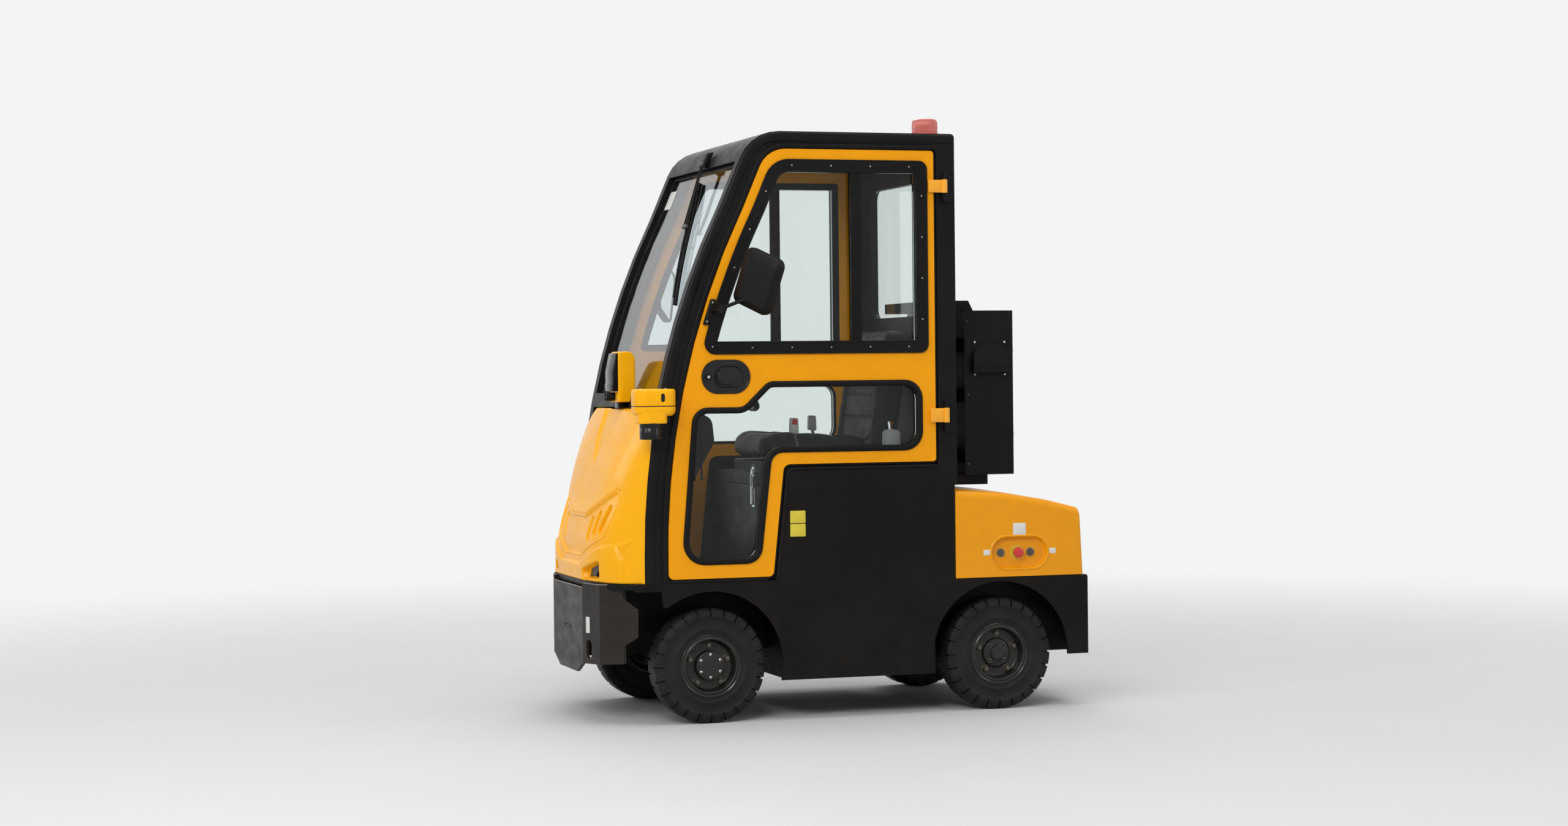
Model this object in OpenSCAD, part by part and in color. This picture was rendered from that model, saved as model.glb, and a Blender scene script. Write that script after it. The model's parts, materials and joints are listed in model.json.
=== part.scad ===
// Airport baggage tug with a closed cab, built around its axles and its cab side outline.
// The front looks along +X, the left side along +Y, and Z is up from the floor.
// Places along the vehicle are measured from a datum at the door's middle. The last lines
// move everything so that the middle of the whole length stands on the origin.

/* [Running gear] */
// Distance between the two axles
wheelbase = 1112; // [1000:1:1250]
// Front axle ahead of the datum
front_axle_x = 511; // [480:1:540]
// Distance between the tyre middles across the vehicle
track = 813; // [780:1:830]
// Outside diameter of a tyre over its lugs
tyre_d = 412; // [380:1:420]
// Width of a tyre
tyre_w = 114; // [100:1:120]
// Diameter of the rim flange
rim_d = 226; // [210:1:236]
// Diameter of the wheel spindles
spindle_d = 40; // [30:1:48]
// Diameter of the kingpins
kingpin_d = 26; // [20:1:30]
// Kingpin distance from the middle plane
kingpin_y = 300; // [290:1:306]
// Length of the steering arms
arm_len = 100; // [80:1:120]

/* [Body] */
// Width over the body sides
body_w = 960; // [940:1:1000]
// Front plate ahead of the datum
front_reach = 922; // [912:1:950]
// Rear plate behind the datum
rear_reach = 952; // [940:1:980]
// Height of the skirt's lower edge
skirt_z = 145; // [120:1:160]
// Height of the front floor
floor_z = 506; // [496:1:512]
// Height of the joint above the battery skirt
deck_z = 833; // [820:1:845]
// Height of the rear chassis top
rear_z = 488; // [480:1:500]
// Radius of the wheel arches
arch_r = 268; // [255:1:280]
// Thickness of the chassis plates
plate_t = 10; // [6:1:12]
// Thickness of the moulded cowls
cowl_t = 6; // [4:0.5:8]

/* [Cab] */
// Height of the roof
roof_z = 2119; // [2060:1:2180]
// Radius of the front pillar curve seen from the side
pillar_r = 2800; // [2600:10:3200]
// Slope of the pillar above its curve
pillar_slope = 0.43; // [0.38:0.01:0.48]
// Depth of the cab posts across the vehicle
post_w = 44; // [36:1:50]
// Front pillar face to door edge
pillar_band = 87; // [80:1:95]
// Top edge of the door
door_top_z = 2056; // [2020:1:2070]
// Bottom edge of the door at the foot well
door_low_z = 520; // [516:1:540]
// Bottom edge of the door above the skirt
door_step_z = 922; // [912:1:930]
// Thickness of a door
door_t = 34; // [26:1:36]
// Width of the window frame bars
win_bar = 46; // [40:1:50]
// Thickness of the glass
glass_t = 5; // [4:0.5:6]

/* [Fits] */
// Gap round a door
door_gap = 10; // [7:0.5:14]
// Radial gap of pins in their bores
pin_gap = 0.05; // [0.02:0.01:0.1]
// Gap between a turning wheel and its spindle end
end_gap = 6; // [5:0.5:8]

/* [Rear cabinet] */
// Width of the cabinet
box_w = 600; // [560:5:640]
// Height of the cabinet
box_h = 615; // [580:5:640]
// Depth of the cabinet body
box_d = 173; // [150:1:200]
// Thickness of the cabinet lid
lid_t = 22; // [18:1:26]

/* [Hitch] */
// How far the hitch stands out behind the rear plate
hitch_out = 90; // [80:1:120]
// Radius of the hitch pin holes
hitch_r = 13; // [10:0.5:16]
// Radius of the towing holes in the front plate
tow_r = 5.5; // [4:0.5:8]
// Distance between the front plate holes
tow_span = 83; // [70:1:100]

/* [Hidden] */
$fn = 48;
arc_n = 5;
eps = 0.01;
half_w = body_w / 2;
in_w = half_w - plate_t;
mid_x = (front_reach - rear_reach - hitch_out) / 2;
axle_z = tyre_d / 2;
rear_axle_x = front_axle_x - wheelbase;
wheel_y = track / 2;
tyre_r = tyre_d / 2;
post_y = half_w - post_w;
door_y = half_w - door_t;
cab_back_x = -434;
post_x = -358;
pillar_z0 = 600;
pillar_z1 = 1850;
pillar_x0 = 756;

// Forward edge of the front pillar at height z.
function pillar_arc(z) = pillar_x0 - (pillar_r - sqrt(pow(pillar_r, 2) - pow(max(z, pillar_z0) - pillar_z0, 2)));
function pillar_x(z) = z <= pillar_z1 ? pillar_arc(z)
    : pillar_arc(pillar_z1) - pillar_slope * (z - pillar_z1);
// Heights that the curved edges are drawn through.
function heights(a, b, n) = [for (i = [0 : n]) a + (b - a) * i / n];

// Outline helpers. A row is [across, up, corner radius].
function xy(row) = [row[0], row[1]];
function unit(v) = v / norm(v);
function at_ring(rows, i) = rows[(i + len(rows)) % len(rows)];
function half_turn(a) = a > 180 ? a - 360 : a < -180 ? a + 360 : a;
function arc(p, v, q, r) =
    let (u = unit(p - v), w = unit(q - v), half = acos(u * w) / 2,
         c = v + unit(u + w) * r / sin(half), s = v + u * r / tan(half) - c, e = v + w * r / tan(half) - c,
         a0 = atan2(s[1], s[0]), turn = half_turn(atan2(e[1], e[0]) - a0))
    [for (k = [0 : arc_n]) c + r * [cos(a0 + turn * k / arc_n), sin(a0 + turn * k / arc_n)]];
function rounded(rows) = [for (i = [0 : len(rows) - 1])
    let (v = rows[i])
    for (p = v[2] < 0.1 ? [xy(v)] : arc(xy(at_ring(rows, i - 1)), xy(v), xy(at_ring(rows, i + 1)), v[2])) p];
// The same rows moved outwards by d. The rows run counter-clockwise.
function grown(rows, d) = [for (i = [0 : len(rows) - 1])
    let (v = rows[i], a = unit(xy(v) - xy(at_ring(rows, i - 1))), b = unit(xy(at_ring(rows, i + 1)) - xy(v)),
         na = [a[1], -a[0]], nb = [b[1], -b[0]], s = (na + nb) * d / (1 + na * nb),
         bend = a[0] * b[1] - a[1] * b[0])
    [v[0] + s[0], v[1] + s[1], v[2] < 0.1 ? 0 : max(v[2] + sign(bend) * d, 1)]];
function box_rows(x0, y0, x1, y1, r) = [[x0, y0, r], [x1, y0, r], [x1, y1, r], [x0, y1, r]];

module side_prism(rows, y0, y1)
    translate([0, y1, 0]) rotate([90, 0, 0]) linear_extrude(y1 - y0) polygon(rounded(rows));
module side_ring(rows, inset, y0, y1) difference() {
    side_prism(rows, y0, y1);
    side_prism(grown(rows, -inset), y0 - 1, y1 + 1);
}
module plan_prism(rows, z0, z1) translate([0, 0, z0]) linear_extrude(z1 - z0) polygon(rounded(rows));
module front_prism(rows, x0, x1)
    translate([x0, 0, 0]) rotate([90, 0, 90]) linear_extrude(x1 - x0) polygon(rounded(rows));
module box(a, b) translate(a) cube(b - a);
module both() { children(); mirror([0, 1, 0]) children(); }
module side(s) { if (s > 0) children(); else mirror([0, 1, 0]) children(); }
module rod(a, b, r) {
    d = b - a;
    translate(a) rotate([0, acos(d[2] / norm(d)), atan2(d[1], d[0])]) cylinder(r = r, h = norm(d));
}
// Rings of points, all with the same count, joined to one closed solid.
module loft(rings) {
    n = len(rings[0]);
    m = len(rings);
    polyhedron([for (g = rings) each g], concat(
        [[for (j = [0 : n - 1]) j]],
        [[for (j = [n - 1 : -1 : 0]) (m - 1) * n + j]],
        [for (i = [0 : m - 2]) for (j = [0 : n - 1]) let (k = (j + 1) % n)
            each [[i * n + j, (i + 1) * n + j, i * n + k], [i * n + k, (i + 1) * n + j, (i + 1) * n + k]]]));
}

// Cab side outline, its door and the two windows of the door.
cab_rows = concat([[cab_back_x, deck_z, 0], [post_x, deck_z, 0], [pillar_x0 - pillar_band, floor_z, 0],
        [pillar_x0, floor_z, 0]],
    [for (z = heights(pillar_z0, pillar_z1, 9)) [pillar_x(z), z, 0]],
    [[pillar_x(roof_z), roof_z, 160], [cab_back_x, roof_z, 14]]);
step_x = [278, 234];
// Rear edge of the foot well opening at height z, a door gap behind the door's rising edge.
function step_edge(z) = step_x[0] - door_gap - 0.5
    + (step_x[1] - step_x[0]) * (z - door_low_z) / (door_step_z - door_low_z);
door_rows = concat([[step_x[0], door_low_z, 20], [pillar_x0 - pillar_band, door_low_z, 20]],
    [for (z = heights(pillar_z0 + 100, pillar_z1, 7)) [pillar_x(z) - pillar_band, z, 0]],
    [[pillar_x(door_top_z) - pillar_band, door_top_z, 105], [post_x + 6, door_top_z, 12],
     [post_x + 6, door_step_z, 12], [step_x[1], door_step_z, 26]]);
opening_rows = grown(door_rows, door_gap);
win_z = [1319, 2019];
win_back_x = -325;
win_edge = pillar_band + 34;
win_rows = concat([[win_back_x, win_z[0], 32], [pillar_x(win_z[0]) - win_edge, win_z[0], 40]],
    [for (z = heights(1420, pillar_z1, 4)) [pillar_x(z) - win_edge, z, 0]],
    [[pillar_x(win_z[1]) - win_edge, win_z[1], 95], [win_back_x, win_z[1], 32]]);
low_rows = [[325, 569, 60], [621, 569, 80], [573, 1130, 60], [386, 1129, 50], [290, 1221, 50],
    [-300, 1221, 68], [-300, 964, 70], [279, 965, 45]];
low_bar = 21;

// Chassis
well_y = 208;
well_t = 18;
beam_y = 330;
beam_t = 12;
axle_hole_r = 60;
rear_low_z = 195;
beam_top_z = axle_z + 30;
bulk_x = [front_axle_x - arch_r - 18, rear_axle_x + arch_r - 12];
floor_front_x = front_axle_x + 282;
deck_back_x = cab_back_x + plate_t;
drain_x = [-220, -60, 100];
module arches(y0, y1) for (x = [front_axle_x, rear_axle_x])
    translate([x, y1, axle_z]) rotate([90, 0, 0]) cylinder(r = arch_r, h = y1 - y0, $fn = 96);
skirt_rows = [[-rear_reach, rear_low_z, 0], [rear_axle_x, rear_low_z, 0], [rear_axle_x, skirt_z, 0],
    [front_axle_x, skirt_z, 0], [front_axle_x, 421, 0], [front_axle_x + 179, 421, 8], [front_axle_x + 184, 479, 0],
    [floor_front_x, 479, 0], [floor_front_x, floor_z, 0], [step_edge(floor_z), floor_z, 0],
    [step_edge(deck_z), deck_z, 0], [deck_back_x, deck_z, 0], [deck_back_x, rear_z, 0], [-rear_reach, rear_z, 8]];
module side_skirts() color([0.06, 0.06, 0.065]) both() difference() {
    side_prism(skirt_rows, in_w, half_w);
    arches(in_w - 1, half_w + 1);
}
// Plate over the front axle and the two beams that the axle hangs from.
module front_frame() color([0.06, 0.06, 0.065]) {
    both() box([bulk_x[0], well_y - well_t, beam_top_z], [front_reach - bumper_t - 0.2, well_y, floor_z - plate_t]);
    box([bulk_x[0], -in_w, floor_z - plate_t], [floor_front_x, in_w, floor_z]);
}
module battery_tray() color([0.06, 0.06, 0.065]) {
    box([bulk_x[0] - plate_t, -in_w, skirt_z], [bulk_x[0], in_w, deck_z - plate_t]);
    box([bulk_x[1], -in_w, skirt_z], [bulk_x[1] + plate_t, in_w, deck_z - plate_t]);
    difference() {
        box([bulk_x[1] + plate_t, -in_w, skirt_z], [bulk_x[0] - plate_t, in_w, skirt_z + plate_t]);
        for (x = drain_x) translate([x, 0, skirt_z - 1]) cylinder(r = 40, h = plate_t + 2);
    }
    box([deck_back_x, -in_w, deck_z - plate_t], [step_edge(deck_z), in_w, deck_z]);
}
// Beams beside the drive axle, the plate over it and the rear plate.
module rear_frame() color([0.06, 0.06, 0.065]) {
    both() difference() {
        box([-rear_reach + plate_t, beam_y - beam_t, rear_low_z], [bulk_x[1], beam_y, rear_z - plate_t]);
        translate([rear_axle_x, beam_y + 1, axle_z]) rotate([90, 0, 0]) cylinder(r = axle_hole_r, h = beam_t + 2);
    }
    box([-rear_reach + plate_t, -in_w, rear_z - plate_t], [deck_back_x + plate_t, in_w, rear_z]);
    box([deck_back_x, -in_w, rear_z], [deck_back_x + plate_t, in_w, deck_z - plate_t]);
    box([-rear_reach, -in_w, rear_low_z], [-rear_reach + plate_t, in_w, rear_z]);
}

// Foot-well floor and the sills above the skirts.
floor_t = 4;
wall_x = front_axle_x + 181;
module cab_floor() color([0.07, 0.07, 0.075]) {
    both() side_prism([[post_x, deck_z, 0], [step_edge(deck_z), deck_z, 0],
        [step_edge(door_step_z - door_gap), door_step_z - door_gap, 18], [post_x, door_step_z - door_gap, 0]],
        post_y, half_w);
    box([bulk_x[0], -post_y, floor_z], [wall_x + 8, post_y, floor_z + floor_t]);
}

// Folded front plate. Rows are points of its front face in plan.
bumper_t = 12;
bumper_rows = [for (p = [[0, 0], [0, 225], [33, 345], [162, 439]]) [front_reach - p[0], p[1]]];
bumper_z = [173, 500];
module front_bumper() color([0.05, 0.05, 0.055]) difference() {
    both() for (i = [0 : len(bumper_rows) - 2]) {
        a = bumper_rows[i];
        b = bumper_rows[i + 1];
        d = unit(b - a);
        n = [-d[1], d[0]] * bumper_t;
        plan_prism([[a[0], a[1], 0], [b[0], b[1], 0], [b[0] + n[0], b[1] + n[1], 0],
            [a[0] + n[0], a[1] + n[1] - (i > 0 ? 4 : 0), 0]], bumper_z[0], bumper_z[1]);
    }
    both() {
        front_prism([[130, 100, 0], [500, 100, 0], [500, 228, 0], [345, 215, 0], [219, 211, 0], [130, 173, 0]],
            700, front_reach + 1);
        front_prism([[-1, 483, 0], [222, 483, 0], [232, 510, 0], [-1, 510, 0]], front_reach - 42, front_reach + 1);
        translate([front_reach - 17, 265, 265]) rotate([0, 90, 14]) translate([0, 0, -60])
            linear_extrude(120) polygon(rounded(box_rows(-34, -19, 34, 19, 18.5)));
        side_prism([[700, 160, 0], [816, 160, 0], [816, 281, 0], [770, 315, 0], [770, 414, 0], [816, 454, 0],
            [816, 520, 0], [700, 520, 0]], 390, 480);
        translate([front_reach - 42, tow_span / 2, 330]) rotate([0, 90, 0]) cylinder(r = tow_r, h = 60);
    }
}

// Nose cowl. Columns are height, set-back of its middle from the front plate, and loss of half width.
nose_rows = [[508, 19, 0], [560, 19, 0], [600, 21, 0], [674, 26, 0], [734, 41, 0], [800, 65, 0], [930, 104, 0],
    [1020, 139, 6], [1060, 156, 24], [1095, 172, 55], [1127, 187, 108]];
nose_power = 4.5;
nose_n = 16;
nose_fit = 0.9;
// Zones of the nose in front view, half of each. Columns are across, up and corner radius.
grille_half = [[109, 597, 12], [335, 674, 40], [374, 790, 30], [356, 836, 8], [299, 812, 0], [100, 737, 14]];
groove_half = [[0, 925, 0], [90, 1020, 0], [137, 1140, 0]];
lip_half = [[136, 571, 25], [318, 637, 30], [398, 650, 16], [425, 590, 30], [440, 490, 0]];
pocket_rows = [[186, 510, 12], [330, 522, 12], [327, 588, 12], [175, 549, 16]];
lamp_hole_rows = [[284, 528, 6], [326, 530, 6], [324, 574, 6]];
// Vent slots. Columns are across and up at the foot, and across and up at the head.
vent_rows = [[170, 661, 185, 730], [230, 676, 249, 750], [283, 693, 316, 772]];
vent_w = 30;
zone_depth = [10, 8, 22];
lip_out = 12;
function column(rows, i) = [for (r = rows) [r[0], r[i]]];
function nose_edge(z, t) = let (c = front_reach - lookup(z, column(nose_rows, 1)) - t, xs = pillar_x(z) + nose_fit,
    hw = half_w - lookup(z, column(nose_rows, 2)) - 1.4 * max(t, 0))
    [for (j = [0 : nose_n]) let (s = sin(90 * (2 * j / nose_n - 1)))
        [xs + (c - xs) * (1 - pow(abs(s), nose_power)), s * hw, z]];
function mirrored(half) = concat(half, [for (i = [len(half) - 1 : -1 : 0]) [-half[i][0], half[i][1], half[i][2]]]);
// The nose as a solid, sunk by t. The hollow one is open below and behind.
module nose_solid(t) loft([for (row = nose_rows) nose_edge(row[0], t)]);
module nose_hollow(t) {
    top = nose_rows[len(nose_rows) - 1][0] - cowl_t;
    loft([for (z = concat([nose_rows[0][0] - 1], [for (i = [1 : len(nose_rows) - 2]) nose_rows[i][0]], [top]))
        let (e = nose_edge(z, t), last = e[len(e) - 1]) concat([e[0] - [20, 0, 0]], e, [last - [20, 0, 0]])]);
}
module zone(rows) front_prism(rows, 600, front_reach + 20);
module vents() both() for (v = vent_rows) hull() for (k = [0, 2])
    translate([700, v[k], v[k + 1]]) rotate([0, 90, 0]) cylinder(r = vent_w / 2, h = 300, $fn = 24);
module nose_cowl() color([1, 0.62, 0.02]) difference() {
    union() {
        difference() {
            nose_solid(0);
            zone(mirrored(grille_half));
            zone(mirrored(groove_half));
        }
        intersection() { nose_solid(zone_depth[0]); zone(mirrored(grille_half)); }
        intersection() { nose_solid(zone_depth[1]); zone(mirrored(groove_half)); }
        intersection() { nose_solid(-lip_out); zone(mirrored(lip_half)); }
    }
    nose_hollow(cowl_t + zone_depth[0]);
    both() { zone(pocket_rows); }
    vents();
}

// Lamps on brackets behind the openings in the lower corners of the nose.
lamp_y = [286, 328];
module lamps() color([0.75, 0.75, 0.78]) both()
    side_prism([[floor_front_x - 24, floor_z, 0], [floor_front_x + 45, floor_z, 0], [floor_front_x + 45, 578, 8],
        [floor_front_x + 10, 578, 8], [floor_front_x + 10, floor_z + 6, 0], [floor_front_x - 24, floor_z + 6, 0]],
        lamp_y[0], lamp_y[1]);

// Rear cowl, from the deck's rear edge to the rear plate. Columns are share of its length and height of the top.
cowl_x = [deck_back_x, 22 - rear_reach];
cowl_rows = [for (r = [[0, 820], [0.144, 816], [0.269, 812], [0.401, 806], [0.565, 792], [0.747, 775], [0.881, 758],
    [0.988, 744], [1, 738]]) [cowl_x[0] + (cowl_x[1] - cowl_x[0]) * r[0], r[1]]];
// Its end leans forward towards the foot.
cowl_lean = 12;
cowl_z0 = rear_z + 2;
cowl_r = 26;
cowl_crown = 7;
function cowl_half(w, top, n) = [for (k = [0 : n]) let (a = 90 * k / n)
    [w - cowl_r + cowl_r * cos(a), top - cowl_r + cowl_r * sin(a)]];
function cowl_arch(row, t, z0) = let (x = row[0], w = half_w - t, h = row[1] - t - cowl_crown, q = cowl_half(w, h, 5))
    [for (p = concat([[-w, z0]], [for (p = q) [-p[0], p[1]]], [[-w * 0.5, h + cowl_crown * 0.75],
        [0, h + cowl_crown], [w * 0.5, h + cowl_crown * 0.75]], reversed(q), [[w, z0]]))
        [x + cowl_lean * pow((x - cowl_x[0]) / (cowl_x[1] - cowl_x[0]), 8) * (1 - (p[1] - z0) / (row[1] - z0)), p[0], p[1]]];
function reversed(list) = [for (i = [len(list) - 1 : -1 : 0]) list[i]];
panel_x = -679;
panel_z = 578;
panel_size = [112, 60];
module panel_cut(grow, y0, y1) side_prism(grown(box_rows(panel_x - panel_size[0], panel_z - panel_size[1],
    panel_x + panel_size[0], panel_z + panel_size[1], panel_size[1] - 1), grow), y0, y1);
module rear_cowl() color([1, 0.62, 0.02]) difference() {
    union() {
        difference() {
            loft([for (row = cowl_rows) cowl_arch(row, 0, cowl_z0)]);
            loft([for (i = [0 : len(cowl_rows) - 2])
                cowl_arch(cowl_rows[i] + [i > 0 ? 0 : 1, 0], cowl_t, cowl_z0 - 1)]);
        }
        both() {
            panel_cut(4, half_w - dish_depth - 4, half_w - 2);
            panel_cut(dish_rim, half_w - 2, half_w + 4);
        }
    }
    both() panel_cut(-dish_rim, half_w - dish_depth, half_w + 5);
}

// Push buttons in the oval dishes of the cowl sides. Columns are position, radius and stand-out.
dish_depth = 18;
dish_rim = 7;
button_rows = [[-609, 15, 10], [-674, 20, 26], [-727, 15, 10]];
module rear_controls() color([0.2, 0.2, 0.21]) both()
    for (b = button_rows) translate([b[0], half_w - dish_depth, panel_z]) rotate([-90, 0, 0]) cylinder(r = b[1], h = b[2]);

// Rear hitch: stacked plates behind the rear plate with one row of pin holes.
jaw_z = [250, 318, 386];
jaw_t = 14;
jaw_w = 46;
hitch_pad = [12, 80, 235, 415];
jaw_x = -rear_reach - hitch_out + 30;
module tow_hitch() color([0.1, 0.1, 0.1]) {
    box([-rear_reach - hitch_pad[0], -hitch_pad[1], hitch_pad[2]], [-rear_reach, hitch_pad[1], hitch_pad[3]]);
    for (z = jaw_z) difference() {
        plan_prism([[-rear_reach - 1, -jaw_w, 0], [-rear_reach - 1, jaw_w, 0],
            [-rear_reach - hitch_out, jaw_w, 24], [-rear_reach - hitch_out, -jaw_w, 24]], z, z + jaw_t);
        translate([jaw_x, 0, z - 1]) cylinder(r = hitch_r, h = jaw_t + 2);
    }
}

// Cab
rear_glass = [340, 1460, 1960];
hinge_x = -389;
hinge_y = half_w + 15;
hinge_z = [[1903, 1950], [1064, 1116]];
hinge_pin_r = 5;
beam_z = [1127, 1182];
module cab_ring(t, x0, x1, z0) intersection() {
    difference() {
        side_prism(cab_rows, -post_y, post_y);
        side_prism(grown(cab_rows, -t), -post_y - 1, post_y + 1);
    }
    box([x0, -post_y, z0], [x1, post_y, roof_z + 1]);
}
module cab_frame() color([0.06, 0.06, 0.065]) {
    both() {
        difference() {
            side_prism(cab_rows, post_y, half_w);
            side_prism(opening_rows, post_y - 1, half_w + 1);
            side_prism([[post_x - eps, 400, 0], [pillar_x0 - pillar_band - 5, 400, 0],
                [pillar_x0 - pillar_band - 5, 700, 0], [step_x[0] + 60, door_step_z, 0], [post_x - eps, door_step_z, 0]],
                post_y - 1, half_w + 1);
        }
        for (h = hinge_z) {
            translate([hinge_x, hinge_y, h[0] - 34]) cylinder(r = hinge_pin_r, h = h[1] - h[0] + 60, $fn = 32);
            difference() {
                box([hinge_x - 26, half_w, h[0] - 34], [hinge_x + 8, hinge_y + 8, h[0] - 2]);
                translate([hinge_x, hinge_y, h[0] - 35]) cylinder(r = hinge_pin_r - eps, h = 40, $fn = 32);
            }
        }
    }
    difference() {
        box([cab_back_x, -post_y, deck_z], [cab_back_x + 30, post_y, roof_z - 30]);
        front_prism(box_rows(-rear_glass[0], rear_glass[1], rear_glass[0], rear_glass[2], 40), cab_back_x - 1, cab_back_x + 31);
    }
    box([pillar_x(beam_z[0]) - pillar_band + door_gap + 1, -post_y, beam_z[0]], [pillar_x(beam_z[1]) - 30, post_y, beam_z[1]]);
}
roof_front_x = 232;
roof_t = 30;
module roof() color([0.06, 0.06, 0.065]) cab_ring(roof_t, cab_back_x, roof_front_x, roof_z - roof_t);
// Visor over the windscreen and the cover of the beam below it, with a notch for the sensor box.
module cab_trim() color([0.05, 0.05, 0.05]) {
    cab_ring(roof_t, roof_front_x, 460, visor_z);
    difference() {
        side_prism([[pillar_x(beam_z[1]) - 30, beam_z[0] + 0.5, 0], [pillar_x(beam_z[0]) + 3, beam_z[0] + 0.5, 4],
            [pillar_x(beam_z[1]) + 3, beam_z[1], 10], [pillar_x(beam_z[1]) - 30, beam_z[1], 0]], -post_y, post_y);
        box([sensor_x[0] - 0.3, sensor_y[0] - 0.3, beam_z[0] - 1], [sensor_x[1], sensor_y[1] + 0.3, beam_z[1] + 1]);
    }
}
sensor_x = [682, 747];
sensor_y = [-14, 104];
sensor_z = [1150, 1336];
visor_z = 2012;
glass_z = [1197, 1996];
glass_back = 24;
glass_w = post_y - 16;
function band(z0, z1, d0, d1) = concat([for (z = heights(z0, z1, 10)) [pillar_x(z) - d0, z, 0]],
    [for (z = heights(z1, z0, 10)) [pillar_x(z) - d1, z, 0]]);
module windscreen() color([0.6, 0.7, 0.72, 0.35])
    side_prism(band(glass_z[0], glass_z[1], glass_back, glass_back + glass_t), -glass_w, glass_w);
module cab_seals() color([0.03, 0.03, 0.03]) {
    difference() {
        side_prism(band(beam_z[1], visor_z, glass_back - 4, glass_back + glass_t + 6), -post_y, post_y);
        side_prism(band(glass_z[0], glass_z[1], glass_back - 9, glass_back + glass_t + 12), -glass_w, glass_w);
    }
    both() side_ring(opening_rows, 18, post_y - 8, post_y + 4);
}
module rear_window() color([0.6, 0.7, 0.72, 0.35])
    front_prism(box_rows(-rear_glass[0], rear_glass[1], rear_glass[0], rear_glass[2], 40), cab_back_x + 8, cab_back_x + 8 + glass_t);

// Wiper: housing on the header, two rods and the blade
motor_z = [2016, 2070];
motor_y = [30, 90];
wiper_top = [pillar_x(2000) + 14, 60, 2000];
wiper_end = [pillar_x(1790), 140, 1790];
blade_top = [pillar_x(1960) - 4, 10, 1960];
blade_low = [pillar_x(1500) - 4, 330, 1500];
module wiper() color([0.04, 0.04, 0.04]) {
    side_prism([[pillar_x(motor_z[0]) + 0.3, motor_z[0], 0], [pillar_x(motor_z[0]) + 26, motor_z[0], 6],
        [pillar_x(motor_z[1]) + 26, motor_z[1], 8], [pillar_x(motor_z[1]) + 0.3, motor_z[1], 0]], motor_y[0], motor_y[1]);
    for (d = [-12, 12]) rod(wiper_top + [0, d, 20], wiper_end + [0, d, 0], 4);
    rod(blade_top, blade_low, 8);
}
beacon_at = [-373, 340];
module beacon() color([0.85, 0.2, 0.15]) translate([beacon_at[0], beacon_at[1], roof_z]) {
    cylinder(r = 50, h = 14);
    rotate_extrude() polygon(rounded([[0, 14, 0], [48, 14, 0], [46, 67, 20], [0, 67, 0]]));
}

// Driver's place
wheel_c = [330, 0, 1225];
wheel_tilt = 38;
wheel_rim_r = 170;
column_r = 16;
dash_w = 230;
console_x = wall_x - 132;
// Pedals. Columns are right edge, left edge and height of the foot.
pedal_rows = [[-150, -90, 530], [-60, 40, 560]];
// Console with the steering column, on the wall behind the nose.
module dashboard() color([0.08, 0.08, 0.085]) {
    side_prism([[console_x, floor_z + floor_t, 0], [wall_x, floor_z + floor_t, 0], [wall_x, 1100, 30],
        [430, 1100, 40], [420, 1000, 30], [console_x, 760, 40]], -dash_w, dash_w);
    for (p = pedal_rows) side_prism([[console_x - 62, p[2], 3], [console_x - 40, p[2] + 2, 0], [console_x + 1, p[2] + 112, 0],
        [console_x + 1, p[2] + 128, 0], [console_x - 20, p[2] + 118, 6]], p[0], p[1]);
    box([wall_x, -post_y, floor_z + floor_t], [wall_x + 8, post_y, beam_z[0] - 6]);
    translate(wheel_c) rotate([0, -wheel_tilt, 0]) translate([0, 0, -210]) cylinder(r = 32, h = 160);
    translate(wheel_c) rotate([0, -wheel_tilt, 0]) translate([0, 0, -52]) cylinder(r = column_r, h = 36);
}
module steering_wheel() color([0.06, 0.06, 0.06]) translate(wheel_c) rotate([0, -wheel_tilt, 0]) {
    rotate_extrude($fn = 64) translate([wheel_rim_r, 0]) circle(r = 13, $fn = 24);
    for (a = [90, 210, 330]) rotate([0, 0, a]) translate([30, -12, -14]) cube([wheel_rim_r - 36, 24, 8]);
    difference() {
        translate([0, 0, -30]) cylinder(r = 38, h = 34);
        translate([0, 0, -31]) cylinder(r = column_r + pin_gap, h = 31 - 10);
    }
}
module seat_box() color([0.12, 0.12, 0.125]) {
    box([seat_box_x, -seat_box_w, deck_z], [bulk_x[0] - 1, seat_box_w, seat_z - seat_base_t]);
    box([seat_box_x + 10, -250, seat_z - seat_base_t], [bulk_x[0] - 25, 250, seat_z]);
}
seat_box_x = cab_back_x + 134;
seat_box_w = post_y - 36;
seat_base_t = 45;
seat_z = 925;
seat_w = 240;
module seat_cushion() color([0.05, 0.05, 0.05])
    side_prism([[-200, seat_z, 20], [230, seat_z, 40], [250, seat_z + 85, 40], [-200, seat_z + 60, 30]],
        -seat_w, seat_w);
module seat_back() color([0.05, 0.05, 0.05])
    side_prism([[-290, seat_z, 20], [-202, seat_z, 10], [-202, seat_z + 75, 10], [-250, seat_z + 495, 50],
        [-360, seat_z + 495, 50]], -seat_w, seat_w);

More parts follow.
